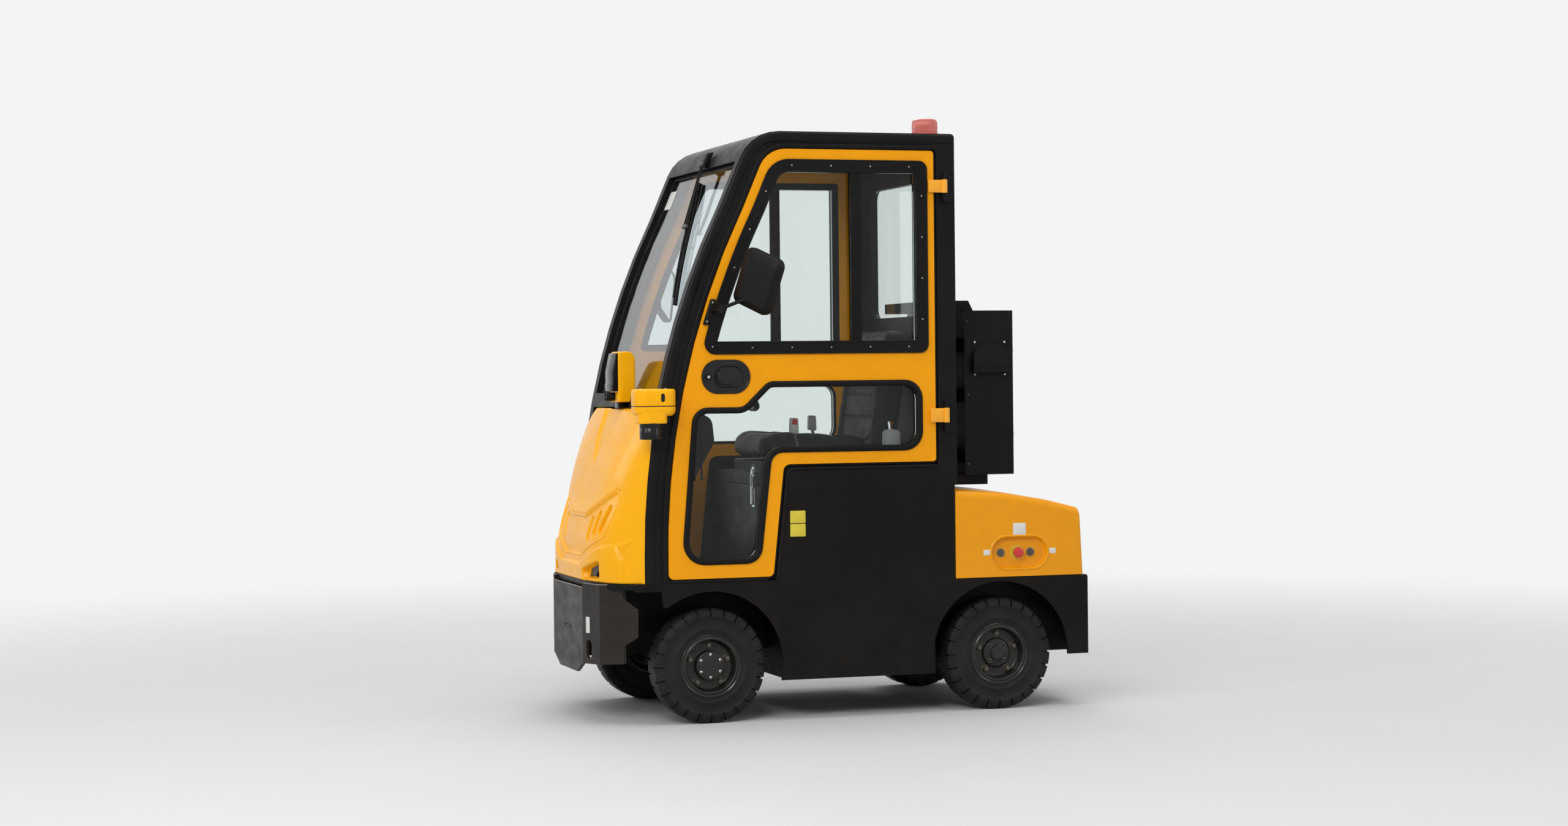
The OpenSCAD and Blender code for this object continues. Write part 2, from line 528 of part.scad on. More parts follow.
// Axles and steering
module front_axle() color([0.09, 0.09, 0.09]) {
    box([front_axle_x - 40, -well_y - 40, axle_z - 30], [front_axle_x + 40, well_y + 40, beam_top_z]);
    both() difference() {
        union() {
            translate([front_axle_x, kingpin_y, axle_z - 40]) cylinder(r = 30, h = 80);
            box([front_axle_x - 30, well_y + 30, axle_z - 30], [front_axle_x + 30, kingpin_y, axle_z + 30]);
        }
        translate([front_axle_x, kingpin_y, axle_z - 41]) cylinder(r = kingpin_d / 2 + pin_gap, h = 82);
    }
}
knuckle_y = kingpin_y + 36;
module knuckle(s) color([0.12, 0.12, 0.12]) side(s) {
    translate([front_axle_x, kingpin_y, axle_z - 60]) cylinder(r = kingpin_d / 2, h = 120);
    for (z = [axle_z - 60, axle_z + 46]) plan_prism([[front_axle_x - 28, kingpin_y - 28, 20],
        [front_axle_x + 28, kingpin_y - 28, 20], [front_axle_x + 28, knuckle_y, 0], [front_axle_x - 28, knuckle_y, 0]],
        z, z + 14);
    box([front_axle_x - 28, knuckle_y, axle_z - 60], [front_axle_x + 28, knuckle_y + 12, axle_z + 60]);
    translate([front_axle_x, knuckle_y + 12, axle_z]) rotate([-90, 0, 0])
        cylinder(r = spindle_d / 2, h = wheel_y + 42 - knuckle_y - 12);
    difference() {
        plan_prism([[front_axle_x - arm_len - 16, kingpin_y - 16, 14], [front_axle_x, kingpin_y - 16, 0],
            [front_axle_x, kingpin_y + 16, 0], [front_axle_x - arm_len - 16, kingpin_y + 16, 14]],
            axle_z - 74, axle_z - 60);
        translate([front_axle_x - arm_len, kingpin_y, axle_z - 75]) cylinder(r = 7 + pin_gap, h = 16);
    }
}
module tie_rod() color([0.3, 0.3, 0.3]) {
    x = front_axle_x - arm_len;
    rod([x, -kingpin_y, axle_z - 92], [x, kingpin_y, axle_z - 92], 10);
    both() {
        translate([x, kingpin_y, axle_z - 104]) cylinder(r = 14, h = 24);
        translate([x, kingpin_y, axle_z - 80]) cylinder(r = 7, h = 24);
    }
}
module drive_axle() color([0.1, 0.1, 0.1]) translate([rear_axle_x, 0, axle_z]) rotate([90, 0, 0]) {
    cylinder(r = 45, h = 2 * (beam_y + 20), center = true);
    for (s = [-1, 1]) translate([0, 0, s * (beam_y - beam_t - 6)]) cylinder(r = axle_hole_r + 16, h = 12, center = true);
    cylinder(r = 105, h = 200, center = true);
    translate([105, 20, 0]) cylinder(r = 80, h = 280, center = true);
    cylinder(r = spindle_d / 2, h = 2 * (wheel_y + 42), center = true);
}
module battery() color([0.2, 0.2, 0.21]) box([bulk_x[1] + plate_t + 20, -battery_w, skirt_z + plate_t],
    [bulk_x[0] - plate_t - 20, battery_w, 650]);
battery_w = 360;

// Wheels
tyre_rows = [[100, -50], [132, -57], [174, -57], [206, -43], [206, 43], [174, 57], [132, 57], [100, 50]];
lug_n = 24;
// Notch of a lug: width, depth on the flank below the tread, and reach over the tread.
lug_cut = [11, 34, 26];
module tyre() color([0.05, 0.05, 0.05]) rotate([-90, 0, 0]) difference() {
    rotate_extrude() polygon([for (p = tyre_rows) [p[0] * tyre_r / 206, p[1] * tyre_w / 114]]);
    for (k = [0 : lug_n - 1], m = [0, 1]) rotate([180 * m, 0, 360 * (k + m / 2) / lug_n])
        rotate([90, 0, 0]) translate([0, 0, -lug_cut[0] / 2]) linear_extrude(lug_cut[0])
            polygon([[tyre_r - lug_cut[1], tyre_w / 2 + 1], [tyre_r + 1, tyre_w / 2 - lug_cut[2]], [tyre_r + 1, tyre_w / 2 + 1]]);
}
hub_r = 52;
bead_r = 100 / 206 * tyre_r;
rim_w = 50 * tyre_w / 114;
seat_gap = 0.3;
module rim(front) color([0.05, 0.05, 0.05]) rotate([-90, 0, 0]) {
    difference() {
        rotate_extrude($fn = 96) polygon([[0, 52], [34, 52], [hub_r - 2, 48], [hub_r, 16], [bead_r - 16, 16],
            [bead_r - 9, 26], [bead_r - 7, rim_w + 7], [rim_d / 2 - 2, rim_w + 10], [rim_d / 2, rim_w + 8],
            [rim_d / 2, rim_w + 3.2], [bead_r - seat_gap, rim_w + 0.4], [bead_r - seat_gap, -rim_w - 0.4],
            [rim_d / 2, -rim_w - 3.2],
            [rim_d / 2, -rim_w - 6], [bead_r - 7, -rim_w - 5], [bead_r - 9, 4], [hub_r, 4], [hub_r, -40], [0, -40]]);
        translate([0, 0, -41]) cylinder(r = spindle_d / 2 + pin_gap, h = 41 + 42 + end_gap - 6);
    }
    for (k = [0 : 4]) rotate([0, 0, 72 * k]) translate([73, 0, 15]) cylinder(r = 14, h = 18, $fn = 6);
    for (k = [0 : (front ? 5 : 3)]) rotate([0, 0, (front ? 60 : 90) * k]) translate([41, 0, 45]) cylinder(r = 4, h = 7, $fn = 16);
}
module wheel_at(front, s) translate([front ? front_axle_x : rear_axle_x, s * wheel_y, axle_z])
    mirror([0, s > 0 ? 0 : 1, 0]) children();

// Doors
module door_panel(s) color([1, 0.62, 0.02]) side(s) difference() {
    side_prism(door_rows, door_y, half_w);
    side_prism(grown(win_rows, -20), door_y - 1, half_w + 1);
    side_prism(grown(low_rows, -low_bar / 2), door_y - 1, half_w + 1);
}
glass_fit = 0.3;
slide_x = [-48, -289];
module door_trim(s) color([0.04, 0.04, 0.04]) side(s) {
    side_ring(win_rows, win_bar, half_w, half_w + 7);
    side_ring(grown(win_rows, -20), win_bar - 20, door_y, half_w);
    box([slide_x[0] - 20, half_w - 8, win_z[0] + win_bar - 4], [slide_x[0] + 20, half_w + 4, win_z[1] - win_bar + 4]);
    side_ring(low_rows, low_bar, half_w, half_w + 5);
    side_ring(grown(low_rows, -low_bar / 2), low_bar / 2, door_y + 6, half_w);
}
module door_glass(s) color([0.6, 0.7, 0.72, 0.35]) side(s) {
    side_prism(grown(win_rows, -win_bar - glass_fit), door_y + 10, door_y + 10 + glass_t);
    side_prism(grown(low_rows, -low_bar - glass_fit), door_y + 14, door_y + 14 + glass_t);
}
latch_c = [449, 1239];
module door_hardware(s) color([0.08, 0.08, 0.08]) side(s) {
    side_prism(box_rows(latch_c[0] - 91, latch_c[1] - 61, latch_c[0] + 91, latch_c[1] + 61, 60), half_w, half_w + 5);
    side_prism(box_rows(latch_c[0] - 60, latch_c[1] - 32, latch_c[0] + 44, latch_c[1] + 32, 22), half_w + 5, half_w + 14);
    translate([latch_c[0] + 66, half_w + 5, latch_c[1]]) rotate([-90, 0, 0]) cylinder(r = 12, h = 9);
    for (h = hinge_z) difference() {
        union() {
            box([hinge_x, half_w + 8, h[0]], [win_back_x - 1, half_w + 16, h[1]]);
            box([post_x + 8, half_w, h[0]], [win_back_x - 1, half_w + 9, h[1]]);
            translate([hinge_x, hinge_y, h[0]]) cylinder(r = 11, h = h[1] - h[0]);
        }
        translate([hinge_x, hinge_y, h[0] - 1]) cylinder(r = hinge_pin_r + pin_gap, h = h[1] - h[0] + 2, $fn = 32);
    }
}
mirror_c = [365, half_w + 125, 1575];
mirror_size = [46, 212, 232];
mirror_foot_z = [1424, 1516];
mirror_elbow = [480, half_w + 65, 1478];
module door_mirror(s) color([0.04, 0.04, 0.04]) side(s) {
    side_prism([for (k = [[0, win_edge - 3], [0, pillar_band + 11], [1, pillar_band + 11], [1, win_edge - 3]])
        [pillar_x(mirror_foot_z[k[0]]) - k[1], mirror_foot_z[k[0]], 0]], half_w, half_w + 12);
    rod([pillar_x(1475) - 108, half_w + 8, 1475], mirror_elbow, 7);
    translate(mirror_elbow - [0, 0, 14]) cylinder(r = 12, h = 28);
    rod(mirror_elbow, mirror_c + [3, -2, -47], 7);
    translate(mirror_c) rotate([0, 0, 29]) rotate([12, 0, 0])
        translate([-mirror_size[0] / 2, 0, 0]) front_prism(box_rows(-mirror_size[1] / 2, -mirror_size[2] / 2,
            mirror_size[1] / 2, mirror_size[2] / 2, 30), 0, mirror_size[0]);
}

// Sensors
module sensor_box() color([1, 0.62, 0.02]) {
    plan_prism([[sensor_x[0], sensor_y[0], 18], [sensor_x[1], sensor_y[0], 4], [sensor_x[1], sensor_y[1], 4],
        [sensor_x[0], sensor_y[1], 18]], sensor_z[0], sensor_z[1]);
    box([sensor_x[0] + 28, 20, 1127.4], [sensor_x[1] - 7, 70, sensor_z[0]]);
}
module sensor_optics() color([0.05, 0.05, 0.06]) {
    side_prism([[sensor_x[1], 1190, 0], [sensor_x[1] + 23, 1190, 0], [sensor_x[1] + 21, 1262, 0],
        [sensor_x[1] + 5, 1330, 0], [sensor_x[1], 1330, 0]], sensor_y[0] + 4, sensor_y[1] - 4);
    translate([sensor_x[1], 45, 1170]) rotate([0, 90, 0]) cylinder(r = 16, h = 40);
    translate([front_axle_x + 236, half_w + 60, 1021]) cylinder(r = 38, h = 56);
}
module corner_module() color([1, 0.62, 0.02]) {
    plan_prism([[650, half_w, 0], [704, half_w, 0], [704, half_w - 20, 0], [790, half_w - 20, 20], [807, half_w + 20, 20],
        [807, half_w + 100, 40], [665, half_w + 100, 40], [650, half_w + 50, 20]], 1138, 1199);
    plan_prism([[690, half_w + 15, 8], [790, half_w + 15, 20], [795, half_w + 100, 30], [690, half_w + 100, 20]], 1077, 1138);
}

// Cabinet behind the cab
box_x = -539;
box_z = 862;
module cabinet_mount() color([0.06, 0.06, 0.065]) {
    for (z = [904, 1134, 1322]) for (y = [-220, 190]) box([box_x, y, z], [cab_back_x, y + 30, z + 55]);
    difference() {
        side_prism(bracket_rows, -box_w / 2 + 30, box_w / 2 - 30);
        translate([0, 0, -sheet_t]) side_prism(grown(bracket_rows, -sheet_t), -box_w / 2 + 30 + sheet_t, box_w / 2 - 30 - sheet_t);
    }
    box([box_x - 106, -box_w / 2 + 40, box_z - trunk_h], [box_x + 50, box_w / 2 - 40, box_z]);
}
// Folded bracket over the gap to the cab, and the cable trunk below.
sheet_t = 3;
trunk_h = 38;
bracket_rows = [[box_x - 49, box_z + box_h, 0], [cab_back_x, box_z + box_h, 0], [cab_back_x, box_z + box_h + 38, 0],
    [box_x - 30, box_z + box_h + 38, 0]];
// Vent hood on the left wall: an arched cap that stands out most at its open lower edge.
hood_c = [box_x - 99, box_z + 383];
hood_size = [146, 112, 27];
module hood_wedge(t) intersection() {
    side_prism([[hood_c[0] - hood_size[0] / 2 + t, hood_c[1], 0], [hood_c[0] + hood_size[0] / 2 - t, hood_c[1], 0],
        [hood_c[0] + hood_size[0] / 2 - 8 - t, hood_c[1] + hood_size[1] - t, 60],
        [hood_c[0] - hood_size[0] / 2 + 8 + t, hood_c[1] + hood_size[1] - t, 60]], box_w / 2 - 2, box_w / 2 + hood_size[2]);
    front_prism([[box_w / 2 - 2, hood_c[1] - eps, 0], [box_w / 2 + hood_size[2] - t, hood_c[1] - eps, 0],
        [box_w / 2 + hood_size[2] - 3 - t, hood_c[1] + 40, 40], [box_w / 2 - 2, hood_c[1] + hood_size[1] - t, 0]],
        hood_c[0] - hood_size[0], hood_c[0] + hood_size[0]);
}
lid_pin = [box_x - box_d, -box_w / 2 - 8];
lid_pin_r = 4;
lid_hinge_z = [120, box_h - 120];
lid_gap = 0.4;
module cabinet_body() color([0.05, 0.05, 0.055]) {
    difference() {
        box([box_x - box_d, -box_w / 2, box_z], [box_x, box_w / 2, box_z + box_h]);
        box([box_x - box_d - 1, -box_w / 2 + 3, box_z + 3], [box_x - 3, box_w / 2 - 3, box_z + box_h - 3]);
        box([hood_c[0] - 45, box_w / 2 - 4, hood_c[1] + 10], [hood_c[0] + 45, box_w / 2 + 1, hood_c[1] + 60]);
    }
    difference() {
        hood_wedge(0);
        translate([0, 0, -sheet_t]) hood_wedge(sheet_t);
        box([hood_c[0] - hood_size[0], box_w / 2 - 3, hood_c[1] - 9], [hood_c[0] + hood_size[0], box_w / 2, hood_c[1] + hood_size[1]]);
    }
    for (h = lid_hinge_z) {
        translate([lid_pin[0], lid_pin[1], box_z + h - 26]) cylinder(r = lid_pin_r, h = 52);
        translate([lid_pin[0], lid_pin[1], box_z + h - 26]) cylinder(r = lid_pin_r + 2.5, h = 24);
        box([lid_pin[0], lid_pin[1] - 4, box_z + h - 26], [lid_pin[0] + 30, -box_w / 2, box_z + h - 2]);
    }
}
module cabinet_door() color([0.05, 0.05, 0.055]) {
    box([box_x - box_d - lid_t - lid_gap, -box_w / 2, box_z], [box_x - box_d - lid_gap, box_w / 2, box_z + box_h]);
    for (h = lid_hinge_z) difference() {
        union() {
            translate([lid_pin[0], lid_pin[1], box_z + h]) cylinder(r = lid_pin_r + 3.5, h = 26);
            box([lid_pin[0] - lid_t - lid_gap, lid_pin[1] - 6, box_z + h], [lid_pin[0] - lid_gap, lid_pin[1] - 1, box_z + h + 26]);
            box([lid_pin[0] - lid_t - lid_gap, lid_pin[1] - 6, box_z + h], [lid_pin[0] - lid_t + 5, -box_w / 2, box_z + h + 26]);
        }
        translate([lid_pin[0], lid_pin[1], box_z + h - 1]) cylinder(r = lid_pin_r + pin_gap, h = 28);
    }
}

module placed() translate([-mid_x, 0, 0]) children();

placed() side_skirts();
placed() front_frame();
placed() battery_tray();
placed() rear_frame();
placed() cab_floor();
placed() front_bumper();
placed() nose_cowl();
placed() lamps();
placed() rear_cowl();
placed() rear_controls();
placed() tow_hitch();
placed() cab_frame();
placed() roof();
placed() cab_trim();
placed() windscreen();
placed() cab_seals();
placed() rear_window();
placed() wiper();
placed() beacon();
placed() dashboard();
placed() steering_wheel();
placed() seat_box();
placed() seat_cushion();
placed() seat_back();
placed() front_axle();
placed() drive_axle();
placed() battery();
placed() sensor_box();
placed() sensor_optics();
placed() corner_module();
placed() cabinet_mount();
placed() cabinet_body();
placed() cabinet_door();
placed() door_panel(1);  // door_left_panel
placed() door_trim(1);  // door_left_trim
placed() door_glass(1);  // door_left_glass
placed() door_hardware(1);  // door_left_hardware
placed() door_mirror(1);  // mirror_left
placed() door_panel(-1);  // door_right_panel
placed() door_trim(-1);  // door_right_trim
placed() door_glass(-1);  // door_right_glass
placed() door_hardware(-1);  // door_right_hardware
placed() door_mirror(-1);  // mirror_right
placed() knuckle(1);  // knuckle_left
placed() knuckle(-1);  // knuckle_right
placed() tie_rod();
placed() wheel_at(true, 1) tyre();  // tyre_front_left
placed() wheel_at(true, 1) rim(true);  // rim_front_left
placed() wheel_at(true, -1) tyre();  // tyre_front_right
placed() wheel_at(true, -1) rim(true);  // rim_front_right
placed() wheel_at(false, 1) tyre();  // tyre_rear_left
placed() wheel_at(false, 1) rim(false);  // rim_rear_left
placed() wheel_at(false, -1) tyre();  // tyre_rear_right
placed() wheel_at(false, -1) rim(false);  // rim_rear_right
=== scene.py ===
"""Airport baggage tug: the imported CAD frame, dressed with modelled surfaces and procedural finishes."""
import json
import logging
import math
from dataclasses import dataclass
from enum import Enum
from functools import reduce
from typing import Iterable, Optional, Sequence, Union

import bmesh
import bpy
import numpy as np
from mathutils import Matrix

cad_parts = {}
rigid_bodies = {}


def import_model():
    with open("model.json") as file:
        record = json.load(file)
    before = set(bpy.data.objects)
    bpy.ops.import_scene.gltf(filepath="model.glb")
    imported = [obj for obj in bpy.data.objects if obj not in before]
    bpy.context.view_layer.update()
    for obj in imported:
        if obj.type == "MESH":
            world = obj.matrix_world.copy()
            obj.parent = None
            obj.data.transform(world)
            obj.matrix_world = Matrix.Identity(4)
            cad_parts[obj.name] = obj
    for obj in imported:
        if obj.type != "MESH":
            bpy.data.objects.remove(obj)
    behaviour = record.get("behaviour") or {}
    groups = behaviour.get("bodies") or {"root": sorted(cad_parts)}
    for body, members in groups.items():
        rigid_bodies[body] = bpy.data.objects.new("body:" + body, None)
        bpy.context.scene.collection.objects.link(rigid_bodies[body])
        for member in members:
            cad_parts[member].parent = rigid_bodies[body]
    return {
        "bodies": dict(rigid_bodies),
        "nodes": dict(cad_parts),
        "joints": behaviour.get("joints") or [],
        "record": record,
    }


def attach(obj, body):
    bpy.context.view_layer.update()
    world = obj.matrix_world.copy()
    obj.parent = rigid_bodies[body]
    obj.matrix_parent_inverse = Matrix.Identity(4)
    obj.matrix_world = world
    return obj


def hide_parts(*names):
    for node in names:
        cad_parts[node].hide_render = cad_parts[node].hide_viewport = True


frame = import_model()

LOG = logging.getLogger("baggage_tug")
Array = np.ndarray
Colour = tuple[float, float, float]
Floats = Sequence[float]
Rows = Sequence[Floats]
Object = bpy.types.Object
Socket = bpy.types.NodeSocket
Value = Union[float, Floats, Socket]

MM = 0.001
MERGE = 0.00001
SIDES = {"left": 1.0, "right": -1.0}
UP, AHEAD, ASIDE = (0, 0, 1), (1, 0, 0), (0, 1, 0)


# ---------------------------------------------------------------- node graphs and finishes

class Graph:
    """The node tree of a material or a world, written as short calls that return sockets."""

    def __init__(self, owner: bpy.types.ID, end: str = "OutputMaterial",
                 shader: str = "BsdfPrincipled") -> None:
        """Start a tree with one shader wired to its output.

        Args:
            owner: The material or world.
            end: The kind of its output node.
            shader: The kind of its shader.
        """
        owner.use_nodes = True
        self.owner = owner
        self.tree = owner.node_tree
        self.tree.nodes.clear()
        self.out, self.shader = self.node(end), self.node(shader)
        self.show(self.shader.outputs[0])

    def show(self, surface: Socket) -> None:
        """Wire a shader to the output."""
        self.tree.links.new(surface, self.out.inputs["Surface"])

    def feed(self, socket: Socket, value: Value) -> None:
        """Link a socket to another, or set its constant.

        Args:
            socket: The input to fill.
            value: An output socket, a number or a colour.
        """
        if isinstance(value, Socket):
            self.tree.links.new(value, socket)
        elif socket.type == "RGBA" and len(value) == 3:
            socket.default_value = (*value, 1.0)
        else:
            socket.default_value = value

    def node(self, kind: str, inputs: Optional[dict] = None, **settings) -> bpy.types.Node:
        """Add one node.

        Args:
            kind: The node's type, without its ShaderNode prefix.
            inputs: Values by socket name or number.
            settings: Attributes of the node.

        Returns:
            The node.
        """
        made = self.tree.nodes.new("ShaderNode" + kind)
        for key, value in settings.items():
            setattr(made, key, value)
        for key, value in (inputs or {}).items():
            self.feed(made.inputs[key], value)
        return made

    def place(self, stretch: Floats = (1, 1, 1)) -> Socket:
        """Object coordinates, stretched along the axes."""
        seen = self.node("TexCoord").outputs["Object"]
        return self.node("Mapping", {"Vector": seen, "Scale": stretch}).outputs[0]

    def noise(self, scale: float, detail: float = 3.0, rough: float = 0.55,
              stretch: Floats = (1, 1, 1)) -> Socket:
        """A fractal noise between 0 and 1, with features of about 1/scale metres."""
        inputs = {"Vector": self.place(stretch), "Scale": scale, "Detail": detail, "Roughness": rough}
        return self.node("TexNoise", inputs).outputs["Fac"]

    def cells(self, scale: float, feature: str = "F1") -> Socket:
        """Distance to the nearest point of a cell pattern."""
        inputs = {"Vector": self.place(), "Scale": scale}
        return self.node("TexVoronoi", inputs, feature=feature).outputs["Distance"]

    def span(self, value: Value, low: float, high: float, to_low: float = 0.0,
             to_high: float = 1.0) -> Socket:
        """Map low..high smoothly to to_low..to_high, and hold the ends."""
        inputs = {"Value": value, "From Min": low, "From Max": high, "To Min": to_low, "To Max": to_high}
        return self.node("MapRange", inputs, interpolation_type="SMOOTHSTEP").outputs[0]

    def calc(self, operation: str, first: Value, second: Value = 0.0) -> Socket:
        """One step of arithmetic on two numbers."""
        return self.node("Math", {0: first, 1: second}, operation=operation).outputs[0]

    def product(self, *values: Value) -> Socket:
        """The product of numbers."""
        return reduce(lambda a, b: self.calc("MULTIPLY", a, b), values)

    def blend(self, factor: Value, first: Value, second: Value) -> Socket:
        """Mix two colours."""
        return self.node("Mix", {0: factor, 6: first, 7: second}, data_type="RGBA").outputs[2]

    def height(self) -> Socket:
        """Height above the floor."""
        return self.node("SeparateXYZ", {0: self.node("TexCoord").outputs["Object"]}).outputs[2]

    def shown(self) -> Socket:
        """1 for what the camera sees, straight on, in reflections or through glass."""
        rays = self.node("LightPath").outputs
        kinds = [rays[f"Is {kind} Ray"] for kind in ("Camera", "Glossy", "Transmission")]
        return reduce(lambda a, b: self.calc("MAXIMUM", a, b), kinds)

    def bump(self, height: Socket, depth: float, under: Optional[Socket] = None) -> Socket:
        """A bump of a depth in metres, on top of another one if it is given."""
        inputs = {"Height": height, "Distance": depth, "Strength": 1.0}
        if under is not None:
            inputs["Normal"] = under
        return self.node("Bump", inputs).outputs[0]

    def edges(self, radius: float) -> Socket:
        """1 on sharp edges and 0 on flats, from how far a rounded normal turns away."""
        turned = self.node("Bevel", {"Radius": radius}, samples=4).outputs[0]
        plain = self.node("NewGeometry").outputs["Normal"]
        same = self.node("VectorMath", {0: turned, 1: plain}, operation="DOT_PRODUCT").outputs["Value"]
        return self.span(same, 0.99, 0.80)


class Grain(Enum):
    """How a surface was made, which sets its fine relief: scale per metre and depth in metres."""

    SMOOTH = (90.0, 0.00002)
    ORANGE_PEEL = (420.0, 0.00002)
    POWDER = (1300.0, 0.00004)
    MOULDED = (900.0, 0.00016)
    LEATHER = (520.0, 0.00045)
    CAST = (240.0, 0.00060)
    RUBBER = (700.0, 0.00020)
    BRUSHED = (60.0, 0.00004)


@dataclass(frozen=True)
class Finish:
    """One finish: its colour, gloss, grain, dust and wear.

    The colour drifts by `drift` in soft patches, fine grain bumps it, dust of `dust` settles low on
    the vehicle, smears of `smear` change the gloss, and chipped edges take the edge colour:
    this is wear, and on the black finishes, whose edge colour is paler, also a painted highlight of the
    edges.
    """

    name: str
    colour: Colour
    rough: float
    grain: Grain = Grain.SMOOTH
    metal: float = 0.0
    coat: float = 0.0
    coat_rough: float = 0.08
    drift: float = 0.10
    dust: float = 0.10
    smear: float = 0.08
    wear_and_highlight: float = 0.0
    wear_and_highlight_colour: Colour = (0.30, 0.28, 0.26)
    dust_colour: Colour = (0.36, 0.31, 0.25)
    specular: float = 0.5

    def make(self) -> bpy.types.Material:
        """The material, made once and kept by name."""
        kept = bpy.data.materials.get(self.name)
        if kept is None:
            graph = Graph(bpy.data.materials.new(self.name))
            for socket, value in self.inputs(graph).items():
                graph.feed(graph.shader.inputs[socket], value)
            kept = graph.owner
        return kept

    def inputs(self, graph: Graph) -> dict[str, Value]:
        """What the shader is fed.

        Args:
            graph: The material's graph.

        Returns:
            Values by the names of the shader's inputs.
        """
        patch = graph.span(graph.noise(5.0, 4.0, 0.6), 0.3, 0.7)
        dark = tuple(c * (1.0 - self.drift) for c in self.colour)
        pale = tuple(min(c * (1.0 + self.drift) + 0.004 * self.drift, 1.0) for c in self.colour)
        low = graph.span(graph.height(), 0.70, 0.05, 0.25, 1.0)
        film = graph.span(graph.noise(9.0, 5.0, 0.6), 0.30, 0.75, 0.35, 1.0)
        grit = graph.span(graph.noise(260.0, 3.0, 0.7), 0.35, 0.70, 0.6, 1.0)
        dust = graph.product(low, film, grit, self.dust)
        colour = graph.blend(dust, graph.blend(patch, dark, pale), self.dust_colour)
        rough = graph.span(graph.noise(9.0, 5.0, 0.65, (1, 1, 2.2)), 0.3, 0.7,
                           max(self.rough - self.smear, 0.02), self.rough + self.smear)
        # Chips along sharp edges take the edge colour. This is wear, and on the black finishes also a paler
        # painted highlight of the edges.
        if self.wear_and_highlight > 0:
            chips = graph.span(graph.noise(110.0, 5.0, 0.7), 0.45, 0.62)
            worn_and_highlit = graph.product(graph.edges(0.003), chips, self.wear_and_highlight)
            colour = graph.blend(worn_and_highlit, colour, self.wear_and_highlight_colour)
        return {"Base Color": colour, "Roughness": graph.calc("ADD", rough, graph.product(dust, 0.35)),
                "Metallic": self.metal, "Coat Weight": self.coat, "Coat Roughness": self.coat_rough,
                "Specular IOR Level": self.specular, "Normal": self.relief(graph)}

    def relief(self, graph: Graph) -> Socket:
        """The fine relief of the grain.

        Args:
            graph: The material's graph.

        Returns:
            A normal socket.
        """
        scale, depth = self.grain.value
        if self.grain is Grain.LEATHER:
            creases = graph.span(graph.cells(scale, "DISTANCE_TO_EDGE"), 0.0, 0.25)
            return graph.bump(graph.noise(scale * 0.2), depth, graph.bump(creases, depth * 0.6))
        if self.grain is Grain.BRUSHED:
            return graph.bump(graph.noise(scale, 6.0, 0.7, (30, 1, 1)), depth)
        if self.grain in (Grain.MOULDED, Grain.RUBBER, Grain.CAST):
            pits = graph.span(graph.cells(scale), 0.1, 0.6)
            return graph.bump(graph.noise(scale * 0.15, 4.0, 0.6), depth * 1.5, graph.bump(pits, depth))
        waves = graph.noise(7.0, 2.0, 0.4)
        return graph.bump(graph.noise(scale, 2.0, 0.5), depth, graph.bump(waves, depth * 6.0))


@dataclass(frozen=True)
class ClearFinish(Finish):
    """Glass or clear plastic: light passes, and the faces are nearly smooth."""

    ior: float = 1.45
    clarity: float = 1.0

    def inputs(self, graph: Graph) -> dict[str, Value]:
        """What the shader is fed, by the names of its inputs."""
        film = graph.span(graph.noise(14.0, 6.0, 0.7), 0.45, 0.8)
        tint = graph.blend(graph.product(film, self.dust), self.colour, (0.75, 0.73, 0.70))
        rough = graph.calc("ADD", graph.product(film, self.smear), self.rough)
        return {"Base Color": tint, "Roughness": rough, "Transmission Weight": self.clarity, "IOR": self.ior,
                "Normal": graph.bump(graph.noise(3.0, 2.0), 0.0003)}


